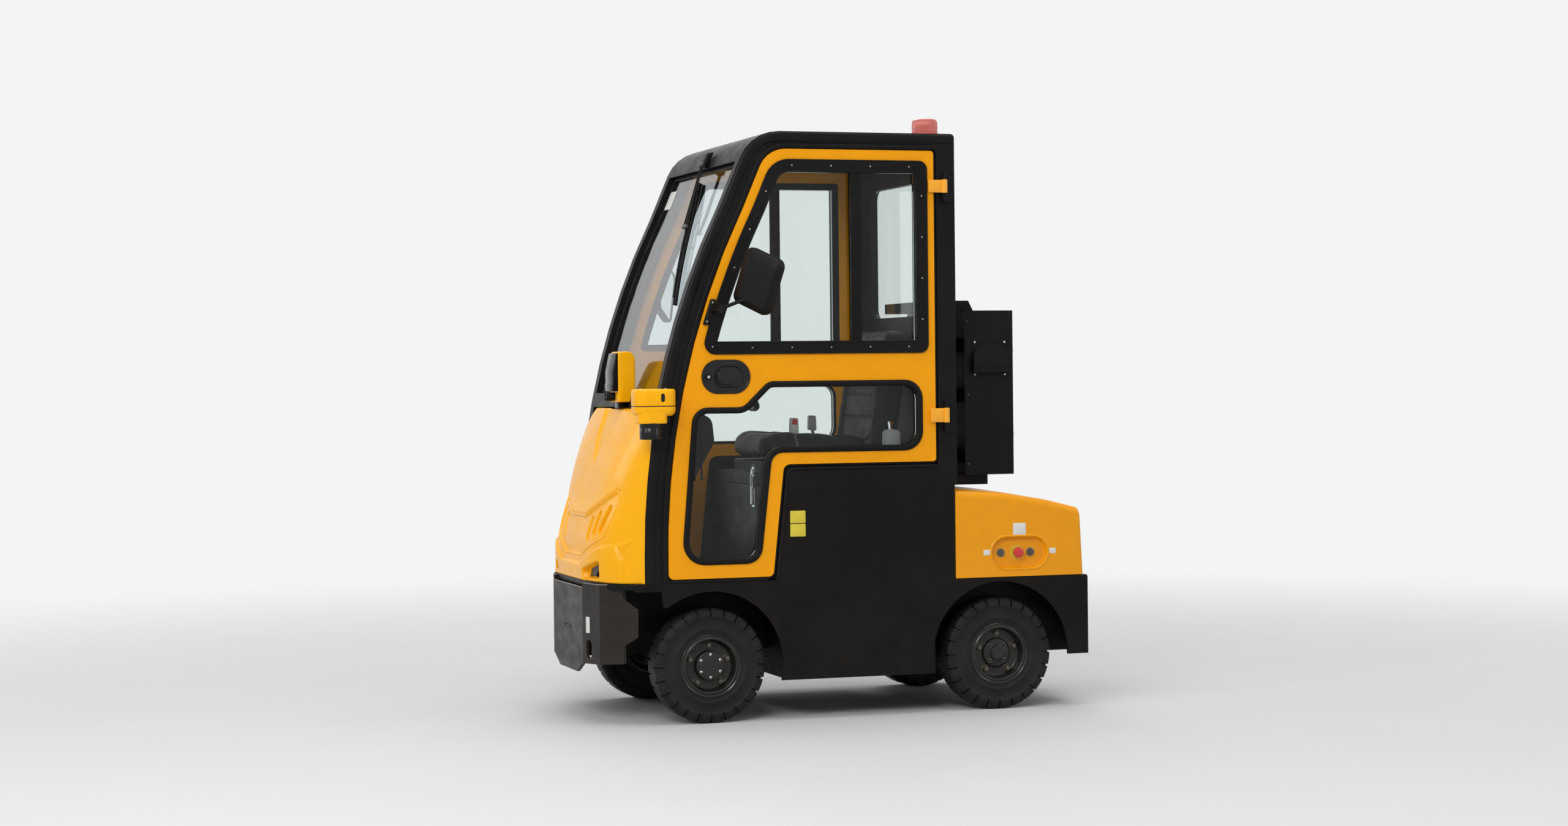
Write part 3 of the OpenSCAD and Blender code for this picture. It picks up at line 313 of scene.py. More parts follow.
class Paint:
    """The finishes of the tug, named for what carries them."""

    COWL = Finish("cowl_yellow", (0.95, 0.435, 0.002), 0.28, Grain.ORANGE_PEEL, coat=0.15, coat_rough=0.035,
        drift=0.03, dust=0.015, specular=0.12)
    # Rear cowl yellow: the door's deeper orange on the cowl's gloss. It is partly the paint it has and partly
    # painted shade of the rear, darker than the nose's yellow.
    REAR = Finish("rear_yellow", (0.84, 0.325, 0.002), 0.32, Grain.ORANGE_PEEL, coat=0.18, coat_rough=0.07,
        drift=0.03, dust=0.03, specular=0.15)
    DOOR = Finish("door_yellow", (0.87, 0.340, 0.002), 0.40, Grain.POWDER, coat=0.06, coat_rough=0.25,
        drift=0.035, dust=0.015, wear_and_highlight=0.2, wear_and_highlight_colour=(0.50, 0.27, 0.06), specular=0.15)
    # On the frame, skirts, bumper and rims the edge colour is paler than the base. This is wear, and also a
    # painted highlight of the edges.
    FRAME = Finish("frame_black", (0.0055, 0.0051, 0.0049), 0.38, Grain.POWDER, drift=0.2, dust=0.02,
        smear=0.035, wear_and_highlight=0.3, wear_and_highlight_colour=(0.05, 0.046, 0.042), specular=0.11)
    SKIRT = Finish("skirt_black", (0.0058, 0.0046, 0.0039), 0.42, Grain.POWDER, drift=0.22, dust=0.025,
        wear_and_highlight=0.35, wear_and_highlight_colour=(0.06, 0.052, 0.045), specular=0.10)
    # The bumper's pale worn edges also stand in for a painted highlight along its top edge.
    BUMPER = Finish("bumper_brown_black", (0.0135, 0.0100, 0.0080), 0.44, Grain.POWDER, drift=0.25,
        dust=0.05, wear_and_highlight=0.6, wear_and_highlight_colour=(0.20, 0.175, 0.15), specular=0.22)
    PLASTIC = Finish("trim_black", (0.0058, 0.0056, 0.0057), 0.38, Grain.MOULDED, drift=0.15, dust=0.02,
        specular=0.13)
    GLOSS_BLACK = Finish("gloss_black", (0.0060, 0.0058, 0.0060), 0.24, Grain.ORANGE_PEEL, coat=0.18,
        dust=0.03, specular=0.2)
    DASH = Finish("dash_grey", (0.0105, 0.0098, 0.0092), 0.46, Grain.MOULDED, drift=0.15, dust=0.03,
        specular=0.16)
    RUBBER = Finish("moulded_rubber", (0.0058, 0.0056, 0.0056), 0.40, Grain.RUBBER, drift=0.2, dust=0.015,
        specular=0.10)
    TYRE = Finish("tyre_rubber", (0.0085, 0.0077, 0.0074), 0.52, Grain.RUBBER, drift=0.2, dust=0.05,
        specular=0.14)
    RIM = Finish("rim_enamel", (0.0075, 0.0070, 0.0070), 0.26, Grain.ORANGE_PEEL, coat=0.25, dust=0.05,
        wear_and_highlight=0.3, wear_and_highlight_colour=(0.10, 0.09, 0.08), specular=0.2)
    CAST = Finish("rough_casting", (0.012, 0.011, 0.0105), 0.55, Grain.CAST, drift=0.3, dust=0.12,
        specular=0.25)
    CASE = Finish("battery_grey", (0.045, 0.045, 0.048), 0.45, Grain.POWDER, dust=0.12, specular=0.4)
    STEEL = Finish("zinc_steel", (0.55, 0.54, 0.52), 0.32, Grain.BRUSHED, metal=1.0, dust=0.08)
    CHROME = Finish("bright_steel", (0.75, 0.75, 0.76), 0.12, metal=1.0, dust=0.03)
    DARK_STEEL = Finish("oiled_steel", (0.10, 0.095, 0.09), 0.38, Grain.CAST, metal=0.9, dust=0.15)
    VINYL = Finish("seat_vinyl", (0.0065, 0.0063, 0.0065), 0.42, Grain.LEATHER, drift=0.15, dust=0.01,
        specular=0.18)
    SENSOR = Finish("sensor_gloss", (0.006, 0.006, 0.007), 0.16, coat=0.12, dust=0.02, specular=0.16)
    RED = Finish("button_red", (0.62, 0.020, 0.018), 0.32, coat=0.3, dust=0.02)
    BUTTON = Finish("button_grey", (0.060, 0.052, 0.045), 0.40, Grain.MOULDED, dust=0.05)
    BEZEL = Finish("bezel_grey", (0.32, 0.25, 0.14), 0.35, dust=0.05)
    DISC = Finish("disc_yellow", (0.62, 0.50, 0.03), 0.45, dust=0.05)
    # Pale grey for the bumper's top edge: wear and a painted highlight of that edge.
    EDGE_WEAR_AND_HIGHLIGHT = Finish("worn_edge_and_highlight", (0.17, 0.16, 0.15), 0.34, Grain.POWDER, metal=0.3, drift=0.15)
    LABEL = Finish("label_white", (0.70, 0.69, 0.66), 0.42, drift=0.05, dust=0.08)
    PLATE = Finish("plate_yellow", (0.66, 0.52, 0.035), 0.42, drift=0.06)
    NUT = Finish("nut_zinc", (0.085, 0.078, 0.055), 0.42, Grain.CAST, metal=0.8)
    HINGE = Finish("hinge_yellow", (0.90, 0.38, 0.006), 0.34, Grain.POWDER, coat=0.3, drift=0.04, dust=0.04)
    MIRROR = Finish("mirror_glass", (0.80, 0.82, 0.83), 0.03, metal=1.0, dust=0.02)
    BEACON_BASE = Finish("beacon_base_red", (0.55, 0.11, 0.08), 0.38, Grain.MOULDED, dust=0.06)
    BUCKLE = Finish("buckle_pale", (0.42, 0.42, 0.41), 0.38, Grain.MOULDED, dust=0.02)
    TAG = Finish("tag_red", (0.50, 0.020, 0.015), 0.55, dust=0.02)
    WEB = Finish("belt_grey", (0.11, 0.11, 0.115), 0.70, Grain.LEATHER, dust=0.02)
    # Dark orange for the floors of the nose's vents: painted shade of the deep slots.
    VENT_SHADE = Finish("vent_painted_shade", (0.22, 0.055, 0.003), 0.6, Grain.POWDER, dust=0.02)
    PANEL = Finish("panel_grey", (0.34, 0.35, 0.36), 0.45, Grain.MOULDED, dust=0.04)
    GLASS = ClearFinish("cab_glass", (0.86, 0.905, 0.895), 0.0, dust=0.02, smear=0.01, ior=1.24)
    SCREEN = ClearFinish("screen_glass", (0.79, 0.85, 0.88), 0.0, dust=0.02, smear=0.01, ior=1.28)
    LENS = ClearFinish("lamp_lens", (0.92, 0.93, 0.95), 0.02, dust=0.05, smear=0.05)
    BEACON = ClearFinish("beacon_dome", (0.86, 0.32, 0.26), 0.14, dust=0.05, smear=0.05, clarity=0.75)


# ---------------------------------------------------------------- surfaces as arrays

class Shell:
    """Gathers surfaces as arrays and makes one object of them, with a material for each finish."""

    def __init__(self, name: str) -> None:
        """Start an empty shell.

        Args:
            name: The object's name.
        """
        self.name = name
        self.points: list[Array] = []
        self.faces: list[Array] = []
        self.looks: list[tuple[int, int]] = []
        self.finishes: list[Finish] = []
        self.count = 0

    def add(self, points: Array, faces: Array, finish: Finish) -> None:
        """Add faces of one size over their own points.

        Args:
            points: Points, n by 3, in millimetres from the datum.
            faces: Rows of point numbers.
            finish: The finish of these faces.
        """
        self.points.append(np.asarray(points, float).reshape(-1, 3))
        self.more(np.asarray(faces, np.int64) + self.count, finish)
        self.count += len(self.points[-1])

    def grid(self, points: Array, finish: Finish, wrap_u: bool = False, wrap_v: bool = False,
             caps: bool = False, flip: bool = False,
             zones: Optional[list[tuple[Array, Finish]]] = None) -> None:
        """Add a surface P(u, v) given on a grid. Its faces look along dP/du x dP/dv.

        Args:
            points: Points, u by v by 3.
            finish: The finish.
            wrap_u: Join the last row to the first.
            wrap_v: Join the last column to the first.
            caps: Close both ends in u with a fan round their middle.
            flip: Turn the faces over.
            zones: Grid masks of points, each with the finish of the faces in it.
        """
        nu, nv = points.shape[:2]
        index = np.arange(nu * nv).reshape(nu, nv)
        rows = np.vstack([index, index[:1]]) if wrap_u else index
        both = np.hstack([rows, rows[:, :1]]) if wrap_v else rows
        quads = np.stack([both[:-1, :-1], both[1:, :-1], both[1:, 1:], both[:-1, 1:]], -1).reshape(-1, 4)
        quads = quads[:, ::-1] if flip else quads
        start = self.count
        left = np.ones(len(quads), bool)
        self.add(points, np.zeros((0, 4), int), finish)
        for mask, other in zones or []:
            chosen = left & mask.ravel()[quads].all(1)
            left &= ~chosen
            self.more(quads[chosen] + start, other)
        self.more(quads[left] + start, finish)
        if caps:
            self.fan(points[0], finish, flip=flip)
            self.fan(points[-1], finish, flip=not flip)

    def more(self, faces: Array, finish: Finish) -> None:
        """Add faces over points that are already there."""
        if finish not in self.finishes:
            self.finishes.append(finish)
        if len(faces):
            self.faces.append(faces)
            self.looks.append((len(faces), self.finishes.index(finish)))

    def fan(self, ring: Array, finish: Finish, flip: bool = False) -> None:
        """Close a ring with triangles round its middle."""
        n = len(ring)
        around = np.arange(n)
        faces = np.stack([around, np.roll(around, -1), np.full(n, n)], -1)
        self.add(np.vstack([ring, ring.mean(0)]), faces[:, ::-1] if flip else faces, finish)

    def turned(self, profile: Rows, spot: Floats, axis: Floats,
               finish: Finish, n: int, flip: bool = False) -> None:
        """A profile of (radius, height) turned round an axis, with n points round it."""
        self.grid(revolve(profile, spot, axis, n), finish, wrap_v=True, flip=flip)

    def stack(self, outline: Array, frame: Array, rows: Iterable[tuple[float, float]], finish: Finish,
              caps: bool = False) -> None:
        """Rings of an outline at heights with insets, joined into a wall that faces outwards."""
        rings = np.stack([on_frame(inset(outline, away), frame, high) for high, away in rows])
        self.grid(rings, finish, wrap_v=True, caps=caps, flip=np.cross(frame[1], frame[2]) @ frame[3] > 0)

    def plate(self, outline: Array, frame: Array, low: float, high: float, finish: Finish,
              edge: float = 0.0, steps: int = 2) -> None:
        """A flat plate with rounded upper edges: an outline (a, b) raised along a normal.

        Args:
            outline: Points of the outline, n by 2.
            frame: Origin and the directions of a, b and the normal, 4 by 3.
            low: Where it starts along the normal.
            high: Where it ends.
            finish: The finish.
            edge: Radius of the upper edge.
            steps: Steps of that radius.
        """
        turn = np.linspace(0, np.pi / 2, steps + 1) if edge else np.zeros(1)
        rows = [(low, 0.0), *zip(high - edge + edge * np.sin(turn), edge * (1 - np.cos(turn)))]
        self.stack(outline, frame, rows, finish, True)

    def build(self, body: str, slot: str, replaces: Iterable[str] = (), angle: float = 35.0) -> Object:
        """Make the object, weld its seams and let it ride.

        Args:
            body: The body that carries it.
            slot: The material slot of the record; not used.
            replaces: CAD nodes that it stands for.
            angle: The angle from which an edge is sharp, in degrees.

        Returns:
            The object.
        """
        mesh = bpy.data.meshes.new(self.name)
        loops = np.concatenate([f.ravel() for f in self.faces])
        sizes = np.concatenate([np.full(len(f), f.shape[1]) for f in self.faces])
        mesh.vertices.add(self.count)
        places = self.places()
        mesh.vertices.foreach_set("co", places.ravel())
        mesh.loops.add(len(loops))
        mesh.loops.foreach_set("vertex_index", loops.astype(np.int32))
        mesh.polygons.add(len(sizes))
        starts = np.concatenate([[0], np.cumsum(sizes)[:-1]])
        mesh.polygons.foreach_set("loop_start", starts.astype(np.int32))
        mesh.polygons.foreach_set("material_index", np.concatenate(
            [np.full(n, k) for n, k in self.looks]).astype(np.int32))
        mesh.update(calc_edges=True)
        mesh.validate()
        merge_close(mesh)
        mesh.polygons.foreach_set("use_smooth", np.ones(len(mesh.polygons), bool))
        mesh.set_sharp_from_angle(angle=math.radians(angle))
        for finish in self.finishes:
            mesh.materials.append(finish.make())
        return ride(put(self.name, mesh), body, replaces)

    def places(self) -> Array:
        """All points in metres, in the frame of the part."""
        return np.concatenate(self.points) * MM + (PLAN.datum * MM, 0, 0)


def put(name: str, data: bpy.types.ID) -> Object:
    """A new object in the scene."""
    made = bpy.data.objects.new(name, data)
    bpy.context.scene.collection.objects.link(made)
    return made


def merge_close(mesh: bpy.types.Mesh) -> None:
    """Merge points that lie together, so that seams and poles are closed."""
    work = bmesh.new()
    work.from_mesh(mesh)
    bmesh.ops.remove_doubles(work, verts=work.verts, dist=MERGE)
    bmesh.ops.dissolve_degenerate(work, dist=MERGE * 0.5, edges=work.edges)
    work.to_mesh(mesh)
    work.free()


def ride(made: Object, body: str, replaces: Iterable[str] = ()) -> Object:
    """Tie a piece to its body, hide the CAD nodes that it stands for, and report it.

    Args:
        made: The piece.
        body: The body that carries it.
        replaces: CAD nodes that it stands for.

    Returns:
        The piece.
    """
    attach(made, body)
    names = tuple(replaces)
    if names:
        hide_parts(*names)
    LOG.info("piece %s on %s, %d faces", made.name, body, len(made.data.polygons))
    return made


def modify(made: Object, name: str, kind: str, **settings) -> bpy.types.Modifier:
    """Add a modifier with its settings."""
    added = made.modifiers.new(name, kind)
    for key, value in settings.items():
        setattr(added, key, value)
    return added


def add_bevel(made: Object, width: float, angle: float, segments: int) -> None:
    """Round the sharp edges of a CAD node, whose loose triangles are welded first.

    Args:
        made: The object.
        width: The bevel's width in millimetres.
        angle: The angle from which an edge is rounded, in degrees.
        segments: Number of steps.
    """
    modify(made, "weld", "WELD", merge_threshold=2e-5)
    modify(made, "bevel", "BEVEL", width=width * MM, segments=segments, limit_method="ANGLE",
           angle_limit=math.radians(angle), use_clamp_overlap=True, harden_normals=False)
    modify(made, "normals", "WEIGHTED_NORMAL", keep_sharp=False, weight=60)


def dress(node: str, finish: Finish, bevel: float = 0.0, angle: float = 30.0, segments: int = 2) -> None:
    """Give a CAD node its finish and softened edges.

    Args:
        node: The node's name.
        finish: Its finish.
        bevel: The width of its rounded edges in millimetres, or 0.
        angle: The angle from which an edge is rounded, in degrees.
        segments: Steps of the rounding.
    """
    made = frame["nodes"][node]
    made.data.materials.clear()
    made.data.materials.append(finish.make())
    if bevel:
        add_bevel(made, bevel, angle, segments)
    LOG.info("node %s in %s", node, finish.name)


def unit(vector: Floats) -> Array:
    """A vector of length 1."""
    return np.array(vector, float) / np.linalg.norm(vector)


def arc(centre: Floats, radius: float, start: float, end: float, n: int) -> Array:
    """Points of a flat arc, centre + radius (cos a, sin a), for angles in degrees."""
    a = np.radians(np.linspace(start, end, n))
    return np.stack([centre[0] + radius * np.cos(a), centre[1] + radius * np.sin(a)], -1)


def box(x0: float, y0: float, x1: float, y1: float, radius: float, steps: int = 6) -> Array:
    """A rectangle with rounded corners."""
    return rounded([(x0, y0, radius), (x1, y0, radius), (x1, y1, radius), (x0, y1, radius)], steps)


def graded(*rows: tuple[float, int], end: float) -> Array:
    """Numbers up to an end: from each row's start to the next one's, evenly, as many as the row says."""
    starts = [start for start, _ in rows]
    parts = [np.linspace(a, b, n, False) for (a, n), b in zip(rows, starts[1:])]
    return np.concatenate([*parts, np.linspace(starts[-1], end, rows[-1][1])])


def run_length(path: Array) -> Array:
    """Distance along a path at each of its points."""
    return np.concatenate([[0], np.cumsum(np.linalg.norm(np.diff(path, axis=0), axis=1))])


def loaf(outline: Array, frame: Array, length: float, radius: float, depths: Floats,
         share: float = 1.0) -> list[Array]:
    """Rings of an outline along a normal, drawn in at both ends by a quarter circle.

    At a depth d from either end the inset is share (r - sqrt(r^2 - (r - d)^2)).

    Args:
        outline: Points of the outline, n by 2.
        frame: Origin and the directions of a, b and the normal.
        length: Length along the normal.
        radius: Radius of the ends.
        depths: Where the rings stand, from either end.
        share: The part of the inset that is taken.

    Returns:
        The rings in turn.
    """
    d = np.array(depths, float)
    inward = share * (radius - np.sqrt(radius ** 2 - (radius - np.minimum(d, radius)) ** 2))
    rows = zip([*inward, *inward[::-1]], [*d, *(length - d[::-1])])
    return [on_frame(inset(outline, away), frame, high) for away, high in rows]


def rounded(rows: Rows, steps: int = 6) -> Array:
    """An outline with rounded corners.

    Each corner of a row (across, up, radius) becomes an arc that touches both of its sides.

    Args:
        rows: The corners in turn.
        steps: Points less one on each arc.

    Returns:
        Points of the closed outline, n by 2.
    """
    out = []
    n = len(rows)
    for i, row in enumerate(rows):
        v = np.array(row[:2], float)
        p, q = (np.array(rows[j][:2], float) for j in ((i - 1) % n, (i + 1) % n))
        if row[2] <= 0:
            out.append(v[None])
            continue
        u, w = (p - v) / np.linalg.norm(p - v), (q - v) / np.linalg.norm(q - v)
        half = math.acos(float(np.clip(u @ w, -1, 1))) / 2
        c = v + (u + w) / np.linalg.norm(u + w) * row[2] / math.sin(half)
        s, e = v + u * row[2] / math.tan(half) - c, v + w * row[2] / math.tan(half) - c
        a = math.atan2(s[1], s[0])
        turn = (math.atan2(e[1], e[0]) - a + math.pi) % (2 * math.pi) - math.pi
        out.append(arc(c, row[2], math.degrees(a), math.degrees(a + turn), steps + 1))
    return np.vstack(out)


def revolve(profile: Array, centre: Floats, axis: Floats, n: int) -> Array:
    """A profile of (radius, height) turned round an axis.

    P(u, v) = centre + radius(u) (cos v e1 - sin v e2) + height(u) axis. A profile that runs up the
    outside and then inwards faces outwards.

    Args:
        profile: Rows of radius and height.
        centre: The axis's origin.
        axis: Its direction.
        n: Points round it.

    Returns:
        Points, u by v by 3, to be wrapped in v.
    """
    k = unit(axis)
    e1 = unit(np.cross(k, UP if abs(k[2]) < 0.9 else AHEAD))
    e2 = np.cross(k, e1)
    v = -np.linspace(0, 2 * np.pi, n, endpoint=False)
    ring = np.cos(v)[:, None] * e1 + np.sin(v)[:, None] * e2
    profile = np.asarray(profile, float) * 1.0
    profile[profile[:, 0] <= 0.011, 0] = 0.0
    return np.array(centre) + profile[:, :1, None] * ring[None] + profile[:, 1:, None] * k


def sweep(path: Array, outline: Array, up: Floats = UP, closed: bool = False) -> Array:
    """An outline carried along a path.

    P(u, v) = path(u) + a(v) side(u) + b(v) rise(u), where side is the tangent crossed with `up` and
    rise completes the frame.

    Args:
        path: Points of the path, n by 3.
        outline: Points (a, b) of the section.
        up: The direction kept nearest to the section's b axis.
        closed: Whether the path is a loop.

    Returns:
        Points, u by v by 3.
    """
    path = np.asarray(path, float)
    t = (np.roll(path, -1, 0) - np.roll(path, 1, 0)) if closed else np.gradient(path, axis=0)
    t /= np.linalg.norm(t, axis=1)[:, None]
    side = np.cross(t, np.broadcast_to(np.array(up, float), t.shape))
    side /= np.linalg.norm(side, axis=1)[:, None]
    rise = np.cross(side, t)
    return path[:, None] + outline[None, :, :1] * side[:, None] + outline[None, :, 1:] * rise[:, None]


def circle(radius: float, n: int = 12) -> Array:
    """Points of a circle."""
    return arc((0, 0), radius, 0, 360 * (n - 1) / n, n)


def step(value: Array, low: float, high: float) -> Array:
    """0 below low, 1 above high and a smooth cubic between."""
    t = np.clip((value - low) / (high - low), 0, 1)
    return t * t * (3 - 2 * t)


def inside(outline: Array, across: Array, up: Array) -> Array:
    """Signed distance to a closed outline, positive inside.

    The distance to a polygon is the least distance to its sides, and its sign comes from the number
    of sides that a ray to the right crosses.

    Args:
        outline: Points of the outline, n by 2.
        across: First coordinates of the tested points.
        up: Second coordinates.

    Returns:
        Distances, of the same shape as across.
    """
    best = np.full(across.shape, np.inf)
    odd = np.zeros(across.shape, bool)
    for a, b in zip(outline, np.roll(outline, -1, 0)):
        d = b - a
        t = np.clip(((across - a[0]) * d[0] + (up - a[1]) * d[1]) / max(float(d @ d), 1e-18), 0, 1)
        best = np.minimum(best, np.hypot(across - a[0] - t * d[0], up - a[1] - t * d[1]))
        if a[1] != b[1]:
            cross = ((a[1] > up) != (b[1] > up)) & (across < a[0] + (up - a[1]) * d[0] / d[1])
            odd ^= cross
    return np.where(odd, best, -best)


def inset(outline: Array, distance: float) -> Array:
    """A counter-clockwise outline moved inwards, each point along the mean of its sides' normals."""
    if not distance:
        return outline
    ahead = np.roll(outline, -1, 0) - outline
    ahead /= np.maximum(np.linalg.norm(ahead, axis=1), 1e-9)[:, None]
    behind = np.roll(ahead, 1, 0)
    left = np.stack([-ahead[:, 1], ahead[:, 0]], -1) + np.stack([-behind[:, 1], behind[:, 0]], -1)
    reach = distance / np.maximum((left * left).sum(1) / 2, 0.25)
    return outline + left * reach[:, None]


def on_frame(flat: Array, frame: Array, height: float = 0.0) -> Array:
    """Places points (a, b) in space: origin + a A + b B + height N, for a frame of rows origin, A, B, N."""
    return frame[0] + flat[..., :1] * frame[1] + flat[..., 1:2] * frame[2] + height * frame[3]


def side_frame(sign: float, y: float, x: float = 0.0, z: float = 0.0) -> Array:
    """Origin, forward, up and outward normal of a side face at a distance y from the middle."""
    return np.array([(x, sign * y, z), AHEAD, UP, (0, sign, 0)], float)


def top_frame(z: float) -> Array:
    """The frame of a level face at a height: a runs forward and b to the left."""
    return np.array([(0, 0, z), AHEAD, ASIDE, UP], float)


def smooth_table(z: Array, rows: Rows, column: int) -> Array:
    """A column of a table at heights z, by cubic Hermite pieces whose slopes are central differences."""
    table = np.array(rows, float)
    zs, vs = table[:, 0], table[:, column]
    slopes = np.gradient(vs, zs)
    i = np.clip(np.searchsorted(zs, z, "right") - 1, 0, len(zs) - 2)
    h = zs[i + 1] - zs[i]
    t = np.clip((z - zs[i]) / h, 0, 1)
    return ((2 * t ** 3 - 3 * t ** 2 + 1) * vs[i] + (t ** 3 - 2 * t ** 2 + t) * h * slopes[i]
            + (3 * t ** 2 - 2 * t ** 3) * vs[i + 1] + (t ** 3 - t ** 2) * h * slopes[i + 1])


def normals(points: Array) -> Array:
    """Unit normals dP/du x dP/dv of a grid of points."""
    n = np.cross(np.gradient(points, axis=0), np.gradient(points, axis=1))
    return n / np.maximum(np.linalg.norm(n, axis=-1, keepdims=True), 1e-9)


def to_segment(across: Array, up: Array, a: Floats, b: Floats) -> Array:
    """Distance of points to a segment in a plane."""
    d = np.subtract(b, a).astype(float)
    t = np.clip(((across - a[0]) * d[0] + (up - a[1]) * d[1]) / float(d @ d), 0, 1)
    return np.hypot(across - a[0] - t * d[0], up - a[1] - t * d[1])


def mirrored(half: Rows) -> list[tuple[float, ...]]:
    """Rows of half an outline, followed by their mirror image in reverse."""
    return [tuple(r) for r in half] + [(-r[0], *r[1:]) for r in reversed(half)]


# ---------------------------------------------------------------- the plan that the pieces share

@dataclass(frozen=True)
class Plan:
    """Driving dimensions of the tug in millimetres, as in its source, with X from the source's datum."""

    datum: float = 60.0
    half_w: float = 480.0
    front_reach: float = 922.0
    front_axle: float = 511.0
    rear_axle: float = -601.0
    tyre_r: float = 206.0
    wheel_y: float = 406.5
    pillar_band: float = 87.0
    cab_back: float = -434.0
    post: float = -358.0
    roof_z: float = 2119.0
    door_top: float = 2056.0
    door_low: float = 520.0
    door_step: float = 922.0

    def pillar(self, z: Union[float, Array]) -> Array:
        """Front edge of the front pillar at height z: an arc of 2800 mm, then a slope of 0.43."""
        z = np.asarray(z, float)
        low = np.clip(z, 600, 1850)
        return 756 - (2800 - np.sqrt(2800.0 ** 2 - (low - 600) ** 2)) - 0.43 * np.maximum(z - 1850, 0)

    def edge(self, z: float) -> float:
        """The pillar's front edge at one height."""
        return float(self.pillar(z))


PLAN = Plan()


def pillar_rows(z: Floats, back: float) -> list[tuple[float, float, float]]:
    """Outline rows along the pillar's curve, moved back by a distance."""
    return [(PLAN.edge(h) - back, float(h), 0.0) for h in z]


def door_outline() -> Array:
    """Side outline of a door, counter-clockwise."""
    return rounded([(278, PLAN.door_low, 20), (669, PLAN.door_low, 20),
                    *pillar_rows(np.linspace(700, 1850, 12), PLAN.pillar_band),
                    (PLAN.edge(PLAN.door_top) - PLAN.pillar_band, PLAN.door_top, 105),
                    (PLAN.post + 6, PLAN.door_top, 12), (PLAN.post + 6, PLAN.door_step, 12),
                    (234, PLAN.door_step, 26)])


def window_outline() -> Array:
    """Side outline of the upper window of a door, with its frame."""
    edge = PLAN.pillar_band + 34
    return rounded([(-325, 1319, 32), (PLAN.edge(1319) - edge, 1319, 40),
                    *pillar_rows(np.linspace(1420, 1850, 7), edge),
                    (PLAN.edge(2019) - edge, 2019, 95), (-325, 2019, 32)], 8)


def lower_outline() -> Array:
    """Side outline of the lower window of a door, with its seal."""
    return rounded([(325, 569, 60), (621, 569, 80), (573, 1130, 60), (386, 1129, 50), (290, 1221, 50),
                    (-300, 1221, 68), (-300, 964, 70), (279, 965, 45)], 8)


# ---------------------------------------------------------------- studio

